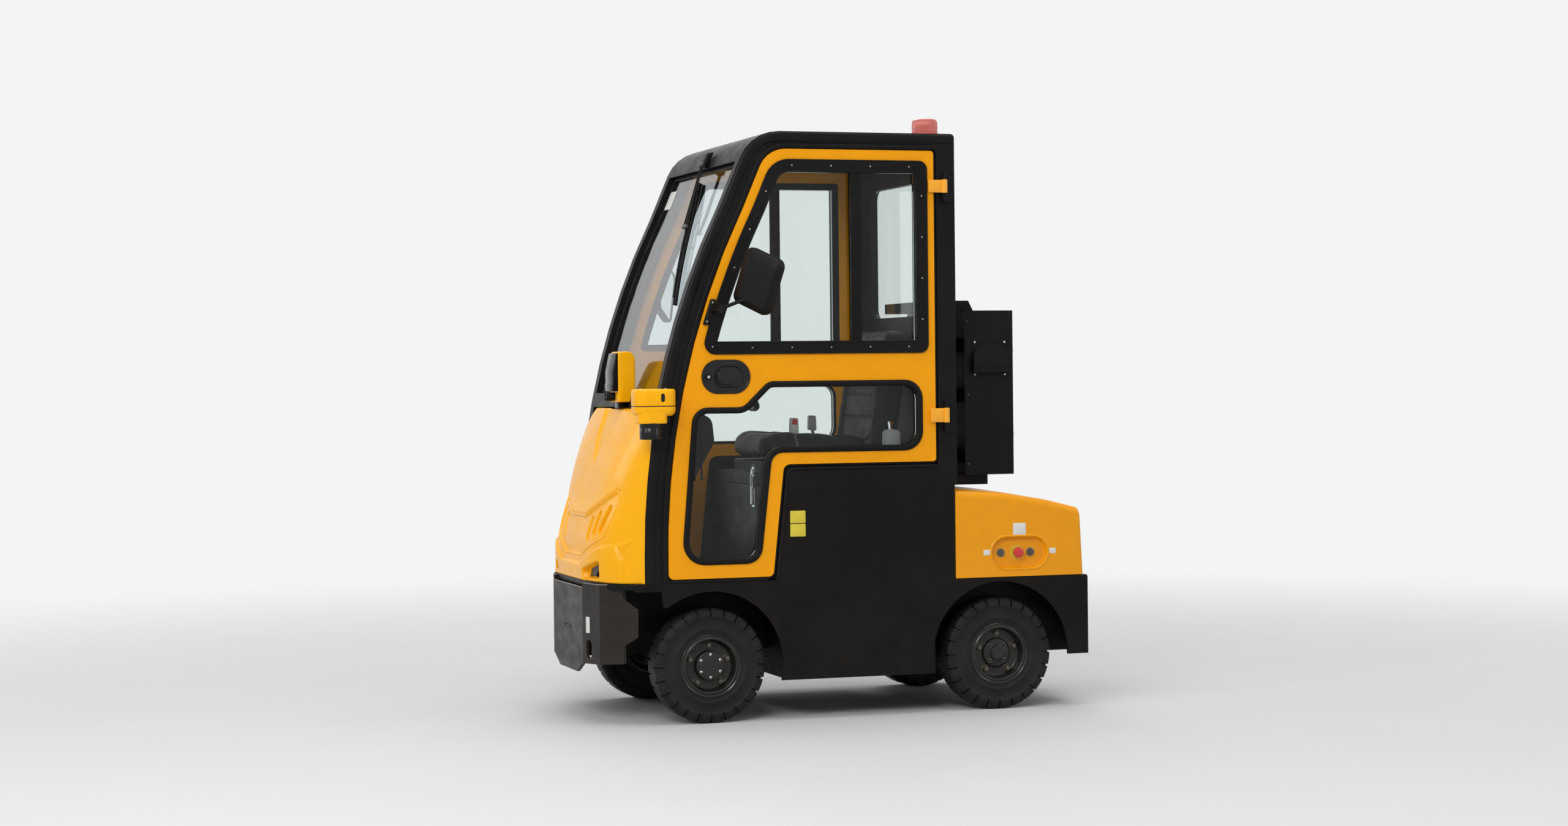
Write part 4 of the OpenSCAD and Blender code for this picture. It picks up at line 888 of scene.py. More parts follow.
@dataclass
class Studio:
    """Floor, lights and a camera that sees the tug as the photograph does."""

    place: tuple[float, float, float] = (3.3935, 10.0103, 1.2429)
    yaw: float = 18.026
    pitch: float = -0.779
    roll: float = -0.622
    lens: float = 64.0
    floor_tone: Colour = (0.62, 0.617, 0.61)
    backdrop: Colour = (0.90, 0.905, 0.91)
    sky: Colour = (0.95, 0.97, 1.0)
    reach: float = 60.0
    lamps: tuple = (
        ("horizon", (7.4, -6.4, 3.8), (3.8, 2.4), 65.0, (0.7, 0, 0.9)),
        ("key", (3.9, 5.9, 4.7), (3.6, 2.2), 225.0, UP),
        ("sky", (-0.5, 0.5, 8.0), (6.0, 5.0), 240.0, UP),
        ("nose_fill", (9.0, 4.0, 5.0), (0.6, 2.6), 130.0, (0.7, 0, 0.8)),
        ("rear_fill", (-6.5, 4.5, 3.5), (2.6, 2.6), 55.0, UP),
        ("far_fill", (-1.5, -6.0, 6.6), (4.5, 2.2), 110.0, UP))

    def camera(self) -> None:
        """Set the camera up from its yaw, pitch and roll in degrees."""
        yaw, pitch, roll = (math.radians(a) for a in (self.yaw, self.pitch, self.roll))
        ahead = np.array([-math.sin(yaw) * math.cos(pitch), -math.cos(yaw) * math.cos(pitch),
                          math.sin(pitch)])
        right = unit(np.cross(ahead, UP))
        up = np.cross(right, ahead)
        turned = right * math.cos(roll) + up * math.sin(roll)
        raised = up * math.cos(roll) - right * math.sin(roll)
        data = bpy.data.cameras.new("camera")
        data.lens, data.sensor_width = self.lens, 36.0
        bpy.context.scene.camera = self.aim("camera", data, self.place, (turned, raised, -ahead))

    def aim(self, name: str, data: bpy.types.ID, place: Floats, axes: Sequence[Array]) -> Object:
        """Put a lamp or a camera at a place with its own axes."""
        made = put(name, data)
        made.matrix_world = Matrix.Translation(place) @ Matrix(axes).transposed().to_4x4()
        return made

    def floor(self) -> None:
        """A pale floor that runs out of sight."""
        mesh = bpy.data.meshes.new("floor")
        s = self.reach
        mesh.from_pydata([(-s, -s, 0), (s, -s, 0), (s, s, 0), (-s, s, 0)], [], [(0, 1, 2, 3)])
        graph = Graph(bpy.data.materials.new("floor_tone"))
        dark, pale = (tuple(c * k for c in self.floor_tone) for k in (0.97, 1.03))
        for socket, value in (("Base Color", graph.blend(graph.noise(1.3, 4.0), dark, pale)),
                              ("Roughness", graph.span(graph.noise(2.0), 0.3, 0.7, 0.75, 0.9)),
                              ("Specular IOR Level", 0.2)):
            graph.feed(graph.shader.inputs[socket], value)
        away = graph.node("VectorMath", {0: graph.place()}, operation="LENGTH").outputs["Value"]
        far = graph.product(graph.span(away, 1.6, 7.5), graph.shown())
        glow = graph.node("Emission", {"Color": self.backdrop}).outputs[0]
        graph.show(graph.node("MixShader", {0: far, 1: graph.shader.outputs[0], 2: glow}).outputs[0])
        mesh.materials.append(graph.owner)
        put("floor", mesh)

    def lamp(self, name: str, place: Floats, size: tuple[float, float], power: float,
             target: Floats) -> None:
        """One soft area lamp.

        Args:
            name: Its name.
            place: Where it stands.
            size: Width and height.
            power: Watts.
            target: The point that it faces.
        """
        data = bpy.data.lights.new(name, "AREA")
        data.shape = "RECTANGLE"
        data.size, data.size_y = size
        data.energy = power
        back = unit(np.subtract(place, target))
        side = unit(np.cross(UP, back))
        self.aim(name, data, place, (side, np.cross(back, side), back)).visible_camera = False

    def world(self) -> None:
        """A pale surrounding: near white to the camera, in reflections and through glass, and as light a
        soft fall from a bright sky to a dim floor.
        """
        bpy.context.scene.world = bpy.data.worlds.new("surrounding")
        graph = Graph(bpy.context.scene.world, "OutputWorld", "Background")
        graph.feed(graph.shader.inputs["Color"], self.backdrop)
        up = graph.node("SeparateXYZ", {0: graph.node("TexCoord").outputs["Generated"]}).outputs[2]
        bright = graph.span(up, -0.1, 0.9, 0.20, 0.62)
        lit = graph.node("Background", {"Color": self.sky, "Strength": bright})
        mixed = {0: graph.shown(), 1: lit.outputs[0], 2: graph.shader.outputs[0]}
        graph.show(graph.node("MixShader", mixed).outputs[0])

    def build(self) -> None:
        """Build it all."""
        bpy.context.scene.view_settings.view_transform = "Standard"
        self.world()
        self.floor()
        for row in self.lamps:
            self.lamp(*row)
        self.camera()
        LOG.info("studio ready")


# ---------------------------------------------------------------- bodywork

@dataclass
class NoseCowl:
    """The moulded nose: a barrel curve with a sunk grille, a V groove, a lip and lamp pockets."""

    rows: Rows = ((508, 19, 0), (560, 19, 0), (600, 21, 0), (674, 26, 0), (734, 41, 0), (800, 65, 0),
                  (930, 104, 0), (1020, 139, 6), (1060, 156, 24), (1095, 172, 55), (1127, 187, 108))
    power: float = 4.5
    fit: float = 0.9
    low: float = 508.0
    high: float = 1127.0
    grille_deep: float = 10.0
    groove_deep: float = 9.0
    lip_high: float = 12.0
    pocket_deep: float = 26.0
    vent_deep: float = 24.0
    flange: float = 16.0
    grille: Rows = ((109, 597, 12), (335, 674, 40), (374, 790, 30), (356, 836, 8), (299, 812, 4),
                    (100, 737, 14))
    groove: Rows = ((0, 925, 0), (90, 1020, 60), (137, 1140, 0))
    lip: Rows = ((136, 571, 25), (318, 637, 30), (398, 650, 16), (425, 590, 30), (440, 480, 0))
    facet: Rows = ((398, 647, 4), (453, 667, 3), (419, 612, 6))
    pocket: Rows = ((186, 510, 12), (330, 522, 12), (327, 588, 12), (175, 549, 16))
    hole: Rows = ((262, 521, 4), (331, 523, 4), (329, 586, 6))
    # A patch of the pocket wall beside the hole, laid gloss black as painted shade of the hole's dark inside.
    hole_shade_patch: Rows = ((195, 514, 2), (331, 514, 2), (331, 590, 2), (247, 584, 2))
    vents: Rows = ((170, 661, 185, 730), (230, 676, 249, 750), (283, 693, 316, 772))

    def base(self, s: Array, z: Array) -> Array:
        """The smooth body of the nose.

        x = xs + (c - xs)(1 - |s|^4.5), y = s w, where xs is the pillar's edge, c the crest and w the
        half width at height z, and s runs from -1 to 1 across.

        Args:
            s: Shares of the half width.
            z: Heights.

        Returns:
            Points of the grid.
        """
        half = PLAN.half_w - smooth_table(z, self.rows, 2)
        crest = PLAN.front_reach - smooth_table(z, self.rows, 1)
        root = PLAN.pillar(z) + self.fit
        return np.stack([root + (crest - root) * (1 - np.abs(s) ** self.power), s * half, z], -1)

    def relief(self, y: Array, z: Array) -> tuple[Array, Array, Array]:
        """How far the surface stands out or in, read in front view.

        Args:
            y: Distance across, on either side.
            z: Height.

        Returns:
            Offset along the normal, mask of the lamp holes and of a patch of the pocket wall beside them,
            which take gloss black as painted shade, and mask of the vents' floors, which take a dark orange
            as painted shade.
        """
        y = np.abs(y)
        grille = inside(rounded(mirrored(self.grille)), y, z)
        out = -self.grille_deep * step(grille, -2, 6) - 3.8 * np.exp(-((grille + 7) / 2.4) ** 2)
        tail = np.minimum(to_segment(y, z, (340, 831), (352, 837)),
                          to_segment(y, z, (352, 837), (380, 833)))
        out -= 3.5 * np.exp(-(tail / 5.0) ** 2) * step(-y, -386, -366)
        groove = inside(rounded(mirrored(self.groove)), y, z)
        out -= self.groove_deep * step(groove, -3, 22)
        lip = inside(rounded(mirrored(self.lip)), y, z)
        out += self.lip_high * step(lip, -3, 10) * step(z, 500, 512)
        out += 5.0 * step(inside(rounded(self.facet), y, z), -5, 10)
        pocket = inside(rounded(self.pocket), y, z)
        out -= self.pocket_deep * step(pocket, -2, 12)
        hole = inside(rounded(self.hole), y, z)
        out -= self.pocket_deep * step(hole, -1, 6)
        # dark holds how far a point lies inside a vent slot. Past 9.6 mm its faces take the dark orange vent
        # finish as painted shade.
        dark = np.full(y.shape, -9.0)
        for ya, za, yb, zb in self.vents:
            slot = 15.0 - to_segment(y, z, (ya, za), (yb, zb))
            out -= self.vent_deep * step(slot, -2, 9)
            dark = np.maximum(dark, slot)
        # The closed faces of the hole and the patch beside it take gloss black: painted shade of the dark
        # hole.
        hole_shade = (inside(rounded(self.hole_shade_patch), y, z) > 0) & (pocket > 8.0)
        return out, hole_shade | (hole > 0.5), dark > 9.6

    def build(self) -> None:
        """Build the piece: the outer grid and a flange turned inwards all round."""
        half = graded((0, 34), (0.31, 118), (0.72, 34), (0.93, 19), end=1)
        across = np.concatenate([-half[:0:-1], half])
        heights = graded((self.low, 22), (560, 34), (640, 92), (790, 26), (850, 20), (1060, 14),
                         end=self.high)
        z, s = np.meshgrid(heights, across, indexing="ij")
        points = self.base(s, z)
        out, hole, dark = self.relief(points[..., 1], z)
        facing = -normals(points)
        facing *= np.sign(facing[..., :1] + 1e-9)
        rim = np.minimum.reduce([step(1 - np.abs(s), 0, 0.02), step(z, self.low, self.low + 6),
                                 step(-z, -self.high, 6 - self.high)])
        points = points + facing * (out - 3.0 * (1 - rim))[..., None]
        shell = Shell("nose_cowl_skin")
        # Gloss black in the lamp holes and dark orange on the vents' floors are painted shade.
        shell.grid(points, Paint.COWL, flip=True, zones=[(hole, Paint.GLOSS_BLACK), (dark, Paint.VENT_SHADE)])
        edge = np.concatenate([points[0], points[1:, -1], points[-1, ::-1][1:], points[::-1, 0][1:-1]])
        back = edge - (self.flange, 0, 0)
        back[:, 1] *= 0.985
        shell.grid(np.stack([edge, back]), Paint.COWL, wrap_v=True)
        shell.build("chassis", "yellow_paint", ["nose_cowl"], angle=50.0)
        self.lamps()

    def lamps(self) -> None:
        """The two small lamps behind the holes: a dark cup with a clear lens."""
        shell = Shell("nose_lamps")
        for sign in SIDES.values():
            spot = np.array([PLAN.front_reach - 58, sign * 309, 546.0])
            cup = [(17, -22), (19, -2), (18, 0), (15, 0), (14, -6), (0, -14)]
            shell.turned(cup, spot, AHEAD, Paint.GLOSS_BLACK, 32)
            shell.turned([(14.5, -3), (12, 0.5), (8, 2.4), (0.01, 3.2)], spot, AHEAD, Paint.LENS, 32)
        shell.build("chassis", "lamp_glass")


@dataclass
class RearCowl:
    """The rear cowl: an arch swept along the deck, with an oval dish and its buttons on either side."""

    rows: Rows = ((-952, 736), (-924, 744), (-870, 758), (-802, 775), (-710, 792), (-627, 806), (-560, 812),
                  (-497, 816), (-424, 820))
    low: float = 490.0
    corner: float = 26.0
    crown: float = 7.0
    dish: tuple[float, float] = (-679.0, 578.0)
    dish_size: tuple[float, float] = (112.0, 60.0)
    dish_deep: float = 18.0
    back: float = -924.0
    front: float = -425.0

    def lean(self, z: Array) -> Array:
        """How far the back stands out at a height: 12 mm at its foot and nothing from z = 740."""
        return -12.0 * np.clip((740 - z) / 250, 0, 1)

    def section(self, x: float, away: float, n: int = 14) -> Array:
        """One cross-section: straight sides, rounded shoulders and a crowned top.

        Args:
            x: Its place along the vehicle.
            away: How far it is inset.
            n: Points of a shoulder.

        Returns:
            Points from the left foot over the top to the right foot.
        """
        w, top = PLAN.half_w - away, float(smooth_table(np.array(x), self.rows, 1)) - away - self.crown
        r = self.corner
        a = np.radians(np.linspace(0, 90, n))
        rise = graded((self.low, 84), (646, 14), end=top - r)
        side = np.stack([np.full(len(rise), w), rise], -1)
        curve = np.stack([w - r + r * np.cos(a), top - r + r * np.sin(a)], -1)[1:]
        across = np.linspace(w - r, 0, 26)[1:]
        flat = np.stack([across, top + self.crown * np.cos(across / (w - r) * np.pi / 2)], -1)
        half = np.vstack([side, curve, flat])
        whole = np.vstack([half, (half * (-1, 1))[::-1][1:]])
        lean = self.lean(whole[:, 1]) * step(np.array(-x), 780, 924)
        return np.stack([x + lean, whole[:, 0], whole[:, 1]], -1)

    def build(self) -> None:
        """Build the cowl's skin and what is on it."""
        r = 13.0
        quarter = np.linspace(0, np.pi / 2, 8)
        front = [(self.front - 5 + 5 * math.sin(a), 5 * (1 - math.cos(a)))
                 for a in np.linspace(np.pi / 2, 0, 5)]
        along = graded((self.front - 8, 26), (-560, 124), (-796, 30), end=self.back + r + 3)
        rear = [(self.back + r * (1 - math.sin(a)), r * (1 - math.cos(a))) for a in quarter]
        rows = [*front, *((x, 0.0) for x in along), *rear]
        grid = np.stack([self.section(x, away) for x, away in rows])
        y, x, z = np.abs(grid[..., 1]), grid[..., 0], grid[..., 2]
        (middle, high), (long, r0) = self.dish, (self.dish_size[0], self.dish_size[1] - 1)
        oval = r0 - to_segment(x, z, (middle - long + r0, high), (middle + long - r0, high))
        flank = y > PLAN.half_w - 2
        rim, floor = 3.2 * step(oval, -7, -3) * step(-oval, -3, 1), self.dish_deep * step(oval, 0, 9)
        out = np.where(flank, rim - floor, 0.0)
        notch = inside(box(-440, 700, -424, 722, 0), x, z)
        out -= np.where(flank, 5.0 * step(notch, 0, 5), 0.0)
        grid[..., 1] += np.sign(grid[..., 1]) * out
        shell = Shell("rear_cowl_skin")
        # The rear cowl takes the deeper yellow, which is partly painted shade of the rear.
        shell.grid(grid, Paint.REAR)
        foot = np.array([0.0, self.low])
        last = grid[-1]
        face = [last]
        for t in np.linspace(0.97, 0.0, 16):
            ring = last.copy()
            ring[:, 1:] = foot + (last[:, 1:] - foot) * t
            ring[:, 0] = self.back + self.lean(ring[:, 2])
            face.append(ring)
        shell.grid(np.stack(face), Paint.REAR)
        shell.build("chassis", "yellow_paint", ["rear_cowl"], angle=50.0)
        for name, sign in SIDES.items():
            self.controls(name, sign)

    def controls(self, name: str, sign: float) -> None:
        """Two grey push buttons with bezels and a red stop button on a yellow disc in the dish.

        Args:
            name: The side's name.
            sign: 1 on the left and -1 on the right.
        """
        shell = Shell(f"rear_buttons_{name}")
        bezel = [(17, -1), (17, 2.5), (15.6, 4.2), (13.6, 4.6), (12.6, 3.6), (12.4, 1)]
        cap = [(12, 0), (12, 7.5), (11.2, 8.8), (9.5, 9.3), (5, 8.8), (0.01, 8.6)]
        disc = [(27, -1), (27, 1.2), (26.2, 1.8), (0.01, 1.8)]
        knob = [(13, 1), (12.4, 9), (13, 11), (18.2, 13.5), (19.6, 16), (19.6, 20.5), (18.4, 23.4),
                (14, 25.2), (8, 25.9), (0.01, 26)]
        for x, profile, finish, n in (
                (-609.0, bezel, Paint.BEZEL, 40), (-609.0, cap, Paint.BUTTON, 40),
                (-727.0, bezel, Paint.BEZEL, 40), (-727.0, cap, Paint.BUTTON, 40),
                (-674.0, disc, Paint.DISC, 56), (-674.0, knob, Paint.RED, 56)):
            spot = (x, sign * (PLAN.half_w - self.dish_deep), self.dish[1])
            shell.turned(profile, spot, (0, sign, 0), finish, n)
        shell.build("chassis", "black_plastic", ["rear_controls"] if name == "left" else [])


# ---------------------------------------------------------------- small parts that repeat

def dome_screw(shell: Shell, spot: Floats, axis: Floats, radius: float,
               finish: Finish = Paint.STEEL) -> None:
    """A domed screw with a socket.

    Args:
        shell: Where it goes.
        spot: Its seat.
        axis: The way that it faces.
        radius: Radius of its head.
        finish: Its finish.
    """
    r = radius
    head = [(r, -0.6), (r, 0.18 * r), (0.86 * r, 0.42 * r), (0.6 * r, 0.56 * r), (0.46 * r, 0.58 * r)]
    shell.turned(head, spot, axis, finish, 18)
    socket = [(0.46 * r, 0.58 * r), (0.44 * r, 0.2 * r), (0.01, 0.16 * r)]
    shell.turned(socket, spot, axis, Paint.DARK_STEEL, 18)


def hex_nut(shell: Shell, spot: Floats, axis: Floats, radius: float, height: float,
            finish: Finish, stud: float = 0.0) -> None:
    """A hexagon nut with a washer, its corners cut by a cone, and a stud through it if that is given.

    Args:
        shell: Where it goes.
        spot: Its seat.
        axis: The way that it faces.
        radius: Radius over its corners.
        height: Its height.
        finish: Its finish.
        stud: How far the stud stands out of the nut.
    """
    washer = [(radius * 1.22, -1.0), (radius * 1.22, 1.6), (radius * 1.12, 2.4), (radius * 0.7, 2.4)]
    shell.turned(washer, spot, axis, finish, 24)
    body = [(radius * 0.98, 2.0), (radius, height - 3.0), (radius * 0.86, height - 0.4),
            (radius * 0.56, height)]
    shell.turned(body, spot, axis, finish, 6)
    if stud:
        r = radius * 0.56
        tip = [(r, height - 1), (r, height + stud - 1), (r - 1.2, height + stud), (0.01, height + stud)]
        shell.turned(tip, spot, axis, Paint.DARK_STEEL, 16)


def tube(shell: Shell, path: Array, radius: float, finish: Finish, n: int = 12, closed: bool = False,
         up: Floats = UP, squash: float = 1.0) -> None:
    """A round or oval tube along a path, with its height nearest to the direction up."""
    section = circle(radius, n) * (1.0, squash)
    shell.grid(sweep(path, section, up, closed), finish, wrap_u=closed, wrap_v=True, caps=not closed)


def soft_path(points: Rows, steps: int = 8) -> Array:
    """A smooth path through points, by Catmull-Rom pieces of (-1, 3, -3, 1) weights."""
    p = np.array(points, float)
    p = np.vstack([2 * p[0] - p[1], p, 2 * p[-1] - p[-2]])
    t = np.linspace(0, 1, steps, False)[:, None]
    out = [0.5 * (2 * b + (c - a) * t + (2 * a - 5 * b + 4 * c - d) * t ** 2
                  + (3 * b - a - 3 * c + d) * t ** 3)
           for a, b, c, d in zip(p, p[1:], p[2:], p[3:])]
    return np.vstack([*out, p[-2:-1]])


# ---------------------------------------------------------------- wheels

@dataclass
class Wheel:
    """A solid tyre with shoulder lugs on a steel rim with five nuts."""

    end: str
    side: str
    lugs: int = 24
    notch: float = 8.5
    nut_circle: float = 73.0
    screw_circle: float = 41.0

    @property
    def name(self) -> str:
        """Its place in the names of bodies and nodes."""
        return f"{self.end}_{self.side}"

    def place(self) -> tuple[Array, float]:
        """The wheel's middle and the sign of its outer side."""
        sign = SIDES[self.side]
        x = PLAN.front_axle if self.end == "front" else PLAN.rear_axle
        return np.array([x, sign * PLAN.wheel_y, PLAN.tyre_r]), sign

    def tyre(self) -> None:
        """The tyre: a revolved section whose shoulders are cut by notches half a pitch apart.

        P(u, v) = c + r(u) e(v) + w(u) y - d m(v) k(u) n(u), where d is the notch's depth, m its mask over
        the pitch, k fades it out on the tread and on the flank, and n is the section's normal.
        """
        half = [(101, 46), (103, 51), (107, 53.5), (113, 54.5), (122, 55.6), (128, 56.2), (130, 57.8),
                (133, 58.3), (136, 56.8), (142, 55.6), (152, 54.9), (162, 55.2), (169, 56.2), (172, 58.4),
                (175, 59.3), (181, 59.0), (188, 57.8), (194, 56.0), (199, 53.2), (203, 49.6), (205.4, 45.0),
                (206, 40.0), (206, 34), (206, 28), (206, 21), (206, 14), (206, 6)]
        section = np.array(half + [(r, -w) for r, w in reversed(half)], float)
        pitch = 2 * np.pi * PLAN.tyre_r / self.lugs
        marks = np.array([-26.95, -23.85, -22.65, -17.5, -14.2, -13.5, -12.8, -9.5, -4.3, -3.1, 0, 3.1, 4.3,
                          9.5, 12.8, 13.5, 14.2, 17.5, 22.65, 23.85])
        t = (marks + pitch / 2) % pitch - pitch / 2
        angle = (np.arange(self.lugs)[:, None] * pitch + marks[None]).ravel() / PLAN.tyre_r
        r, w = section[:, :1], section[:, 1:]
        tangent = np.gradient(section, axis=0)
        out = np.stack([-tangent[:, 1], tangent[:, 0]], -1)
        out /= np.linalg.norm(out, axis=1)[:, None]
        out *= np.sign((out * (section - (150, 0))).sum(1))[:, None]
        fade = step(np.abs(w), 17, 30) * step(r, 171, 180)
        near = np.where(w > 0, t[None], ((t + pitch) % pitch - pitch / 2)[None])
        cut = np.tile(self.notch * (1 - step(np.abs(near), 2.9, 4.4)) * fade, self.lugs)
        flank = step(np.abs(w), 48, 54) * step(r, 176, 184)
        other = np.minimum(np.abs(near - 13.5), np.abs(near + 13.5))
        cut = cut + np.tile(1.6 * (1 - step(other, 0.2, 0.9)) * flank, self.lugs)
        centre, sign = self.place()
        radius = r - cut * out[:, :1]
        width = w - cut * out[:, 1:]
        points = np.stack([centre[0] + radius * np.cos(angle), centre[1] + sign * width,
                           centre[2] + radius * np.sin(angle)], -1)
        shell = Shell(f"tyre_{self.name}_tread")
        shell.grid(points, Paint.TYRE, wrap_v=True, flip=sign > 0)
        shell.build(f"wheel_{self.name}", "tyre", [f"tyre_{self.name}"], angle=38.0)

    def rim(self) -> None:
        """The rim with its hub, nuts and cap screws."""
        centre, sign = self.place()
        axis = (0, sign, 0)
        hub = {"front": [(0.01, 51.4), (28, 51.4), (46, 50.8), (50, 50.0), (51.8, 48.4), (52.4, 45.5),
                         (52.6, 21), (53.8, 17.8), (56.5, 16.6)],
               "rear": [(0.01, 40.0), (12, 40.0), (24, 39.6), (26, 38.4), (26.8, 35), (27.4, 30.2),
                        (30, 28.6), (48, 28.2), (50.6, 27), (51.8, 24), (52.6, 19.5), (53.8, 17.6),
                        (56.5, 16.6)]}[self.end]
        dish = [(63, 16.2), (81, 16.0), (85, 17.0), (88.4, 20.0), (90.6, 25.0), (91.4, 32), (91.8, 43),
                (92.2, 52), (93.2, 56.0), (95.4, 58.6), (98, 59.3), (100.6, 58.2), (102.4, 55.8),
                (104.6, 54.9), (107, 55.6), (109.4, 58.0), (111.4, 58.6), (113, 57.0), (113.2, 54.0),
                (110, 52.4), (101, 51.4)]
        back = [(100, 50), (100, -50), (113, -53), (113.2, -56.4), (111, -57.6), (95, -56), (92.6, -53),
                (91, 3), (88, 4.6), (54, 4.6), (52, 3), (52, -38), (50.5, -40), (21, -40), (0.01, -40)]
        shell = Shell(f"rim_{self.name}_disc")
        shell.turned(hub + dish + back, centre, axis, Paint.RIM, 96, flip=True)
        for k in range(5):
            a = math.radians(90 + 72 * k)
            spot = centre + (self.nut_circle * math.cos(a), sign * 16, self.nut_circle * math.sin(a))
            hex_nut(shell, spot, axis, 12.5, 15.0, Paint.NUT, 6.0)
        screws = 6 if self.end == "front" else 4
        for k in range(screws):
            a = math.radians(360 / screws * k + (90 if self.end == "front" else 45))
            ring = self.screw_circle * np.array((math.cos(a), 0, math.sin(a)))
            if self.end == "front":
                dome_screw(shell, centre + ring + (0, sign * 51.0, 0), axis, 5.2, Paint.CHROME)
            else:
                hex_nut(shell, centre + ring * 0.95 + (0, sign * 28.0, 0), axis, 8.0, 8.0, Paint.DARK_STEEL)
        valve = soft_path([centre + (r * 0.7, sign * y, r * 0.7) for r, y in ((97, 58), (95, 62))], 3)
        tube(shell, valve, 1.6, Paint.DARK_STEEL, 10)
        shell.build(f"wheel_{self.name}", "rim_black", [f"rim_{self.name}"], angle=40.0)

    def build(self) -> None:
        """Build tyre and rim."""
        self.tyre()
        self.rim()


# ---------------------------------------------------------------- sensors and beacon

@dataclass
class Sensors:
    """The front sensor on its yellow plate and the yellow corner pod with its black drum."""

    box_x: tuple[float, float] = (682.0, 747.0)
    box_y: tuple[float, float] = (-14.0, 104.0)
    box_z: tuple[float, float] = (1150.0, 1336.0)
    drum: tuple[float, float] = (747.0, 540.0)

    def plate(self) -> None:
        """The yellow housing with a rounded top and a vertical seam, and its foot."""
        shell = Shell("sensor_housing")
        (x0, x1), (y0, y1), (z0, z1) = self.box_x, self.box_y, self.box_z
        side = rounded([(x0, z0, 10), (x1, z0, 7), (x1, z1, 14), (x0, z1, 30)], 8)
        rings = loaf(side, side_frame(1.0, y0), y1 - y0, 6.0, (0, 0.4, 1.4, 3.2, 6.0))
        seam = (y1 - y0) * 0.36
        rings[5:5] = [on_frame(inset(side, i), side_frame(1.0, y0), seam + d)
                      for d, i in ((-1.4, 0), (-0.7, 1.6), (0.7, 1.6), (1.4, 0))]
        shell.grid(np.stack(rings), Paint.COWL, wrap_v=True, caps=True)
        foot = box(x0 + 28, 20, x1 - 7, 70, 4, 3)
        shell.plate(foot, top_frame(1127.4), 0, z0 - 1126, Paint.GLOSS_BLACK)
        for z in (z0 + 16, z1 - 34):
            for y in (y0 + 12, y1 - 12):
                dome_screw(shell, (x1 - 0.3, y, z), AHEAD, 3.4)
        shell.build("chassis", "yellow_paint", ["sensor_box"], angle=32.0)

    def optics(self) -> None:
        """The scanner head: a wedge with a glossy band, and the small camera drum below it."""
        shell = Shell("sensor_heads")
        x, (y0, y1) = self.box_x[1], (self.box_y[0] + 4, self.box_y[1] - 4)
        side = rounded([(x - 0.5, 1190, 3), (x + 22, 1190, 6), (x + 23, 1214, 4), (x + 20, 1222, 4),
                        (x + 21, 1262, 12), (x + 6, 1330, 5), (x - 0.5, 1330, 3)], 5)
        rings = loaf(side, side_frame(1.0, y0), y1 - y0, 2.6, (0, 0.3, 1.1, 2.6))
        shell.grid(np.stack(rings), Paint.SENSOR, wrap_v=True, caps=True)
        barrel = [(16, -2), (16, 31), (15.2, 33.4), (13.4, 34.2), (12.4, 33), (12, 29)]
        lens = [(12, 29), (9, 31.4), (5, 32.6), (0.01, 33)]
        for profile, finish in ((barrel, Paint.PLASTIC), (lens, Paint.SENSOR)):
            shell.turned(profile, (x, 45.0, 1170.0), AHEAD, finish, 40)
        drum = [(0.01, 0), (33, 0), (36.4, 0.8), (38, 2.6), (38, 38), (37.2, 39.4), (37.2, 42.4), (38, 43.6),
                (38, 57)]
        shell.turned(drum, (*self.drum, 1021.0), UP, Paint.SENSOR, 64)
        shell.build("chassis", "sensor_dark", ["sensor_optics"], angle=32.0)

    def pod(self) -> None:
        """The corner pod: two moulded halves with a dark seam, each an outline that narrows at its ends."""
        shell = Shell("corner_pod")
        w = PLAN.half_w
        upper = rounded([(650, w + 1, 0), (704, w + 1, 0), (704, w - 18, 8), (788, w - 18, 24),
                         (806, w + 22, 24), (806, w + 99, 42), (667, w + 99, 42), (650, w + 48, 24)], 8)
        lower = rounded([(690, w + 14, 10), (786, w + 14, 20), (795, w + 30, 20), (795, w + 99, 34),
                         (690, w + 99, 24)], 8)
        top = [(1139.4, 1.5), (1140.4, 0.4), (1142, 0), (1188, 0), (1193, 1.0), (1196.6, 3.2), (1198.6, 6.4),
               (1199, 10)]
        shoulder = [(1104.5, 13.0), (1109, 6.5), (1116, 1.6), (1124, 0), (1133, 0), (1135, 0.1), (1136, 0.8)]
        foot = [(1077.0, 4.0), (1078.4, 1.4), (1081, 0.2), (1084, 0), (1118, 0)]
        seam = [(1135.5, 0), (1140, 0)]
        for outline, rows, finish in ((upper, top, Paint.COWL), (inset(upper, 2.2), seam, Paint.SENSOR),
                                      (upper, shoulder, Paint.COWL), (lower, foot, Paint.COWL)):
            shell.stack(outline, top_frame(0), rows, finish, True)
        slot = box(-7, -15, 7, 15, 6.9, 8)
        spot = np.array([(710, w + 98.6, 1168), (-1, 0, 0), UP, ASIDE], float)
        shell.plate(slot, spot, -2, 1.2, Paint.SENSOR, 0.6)
        for x in (684.0, 776.0):
            dome_screw(shell, (x, w + 40, 1198.8), UP, 4.0)
        shell.build("chassis", "yellow_paint", ["corner_module"], angle=32.0)

    def build(self) -> None:
        """Build the three pieces."""
        self.plate()
        self.optics()
        self.pod()


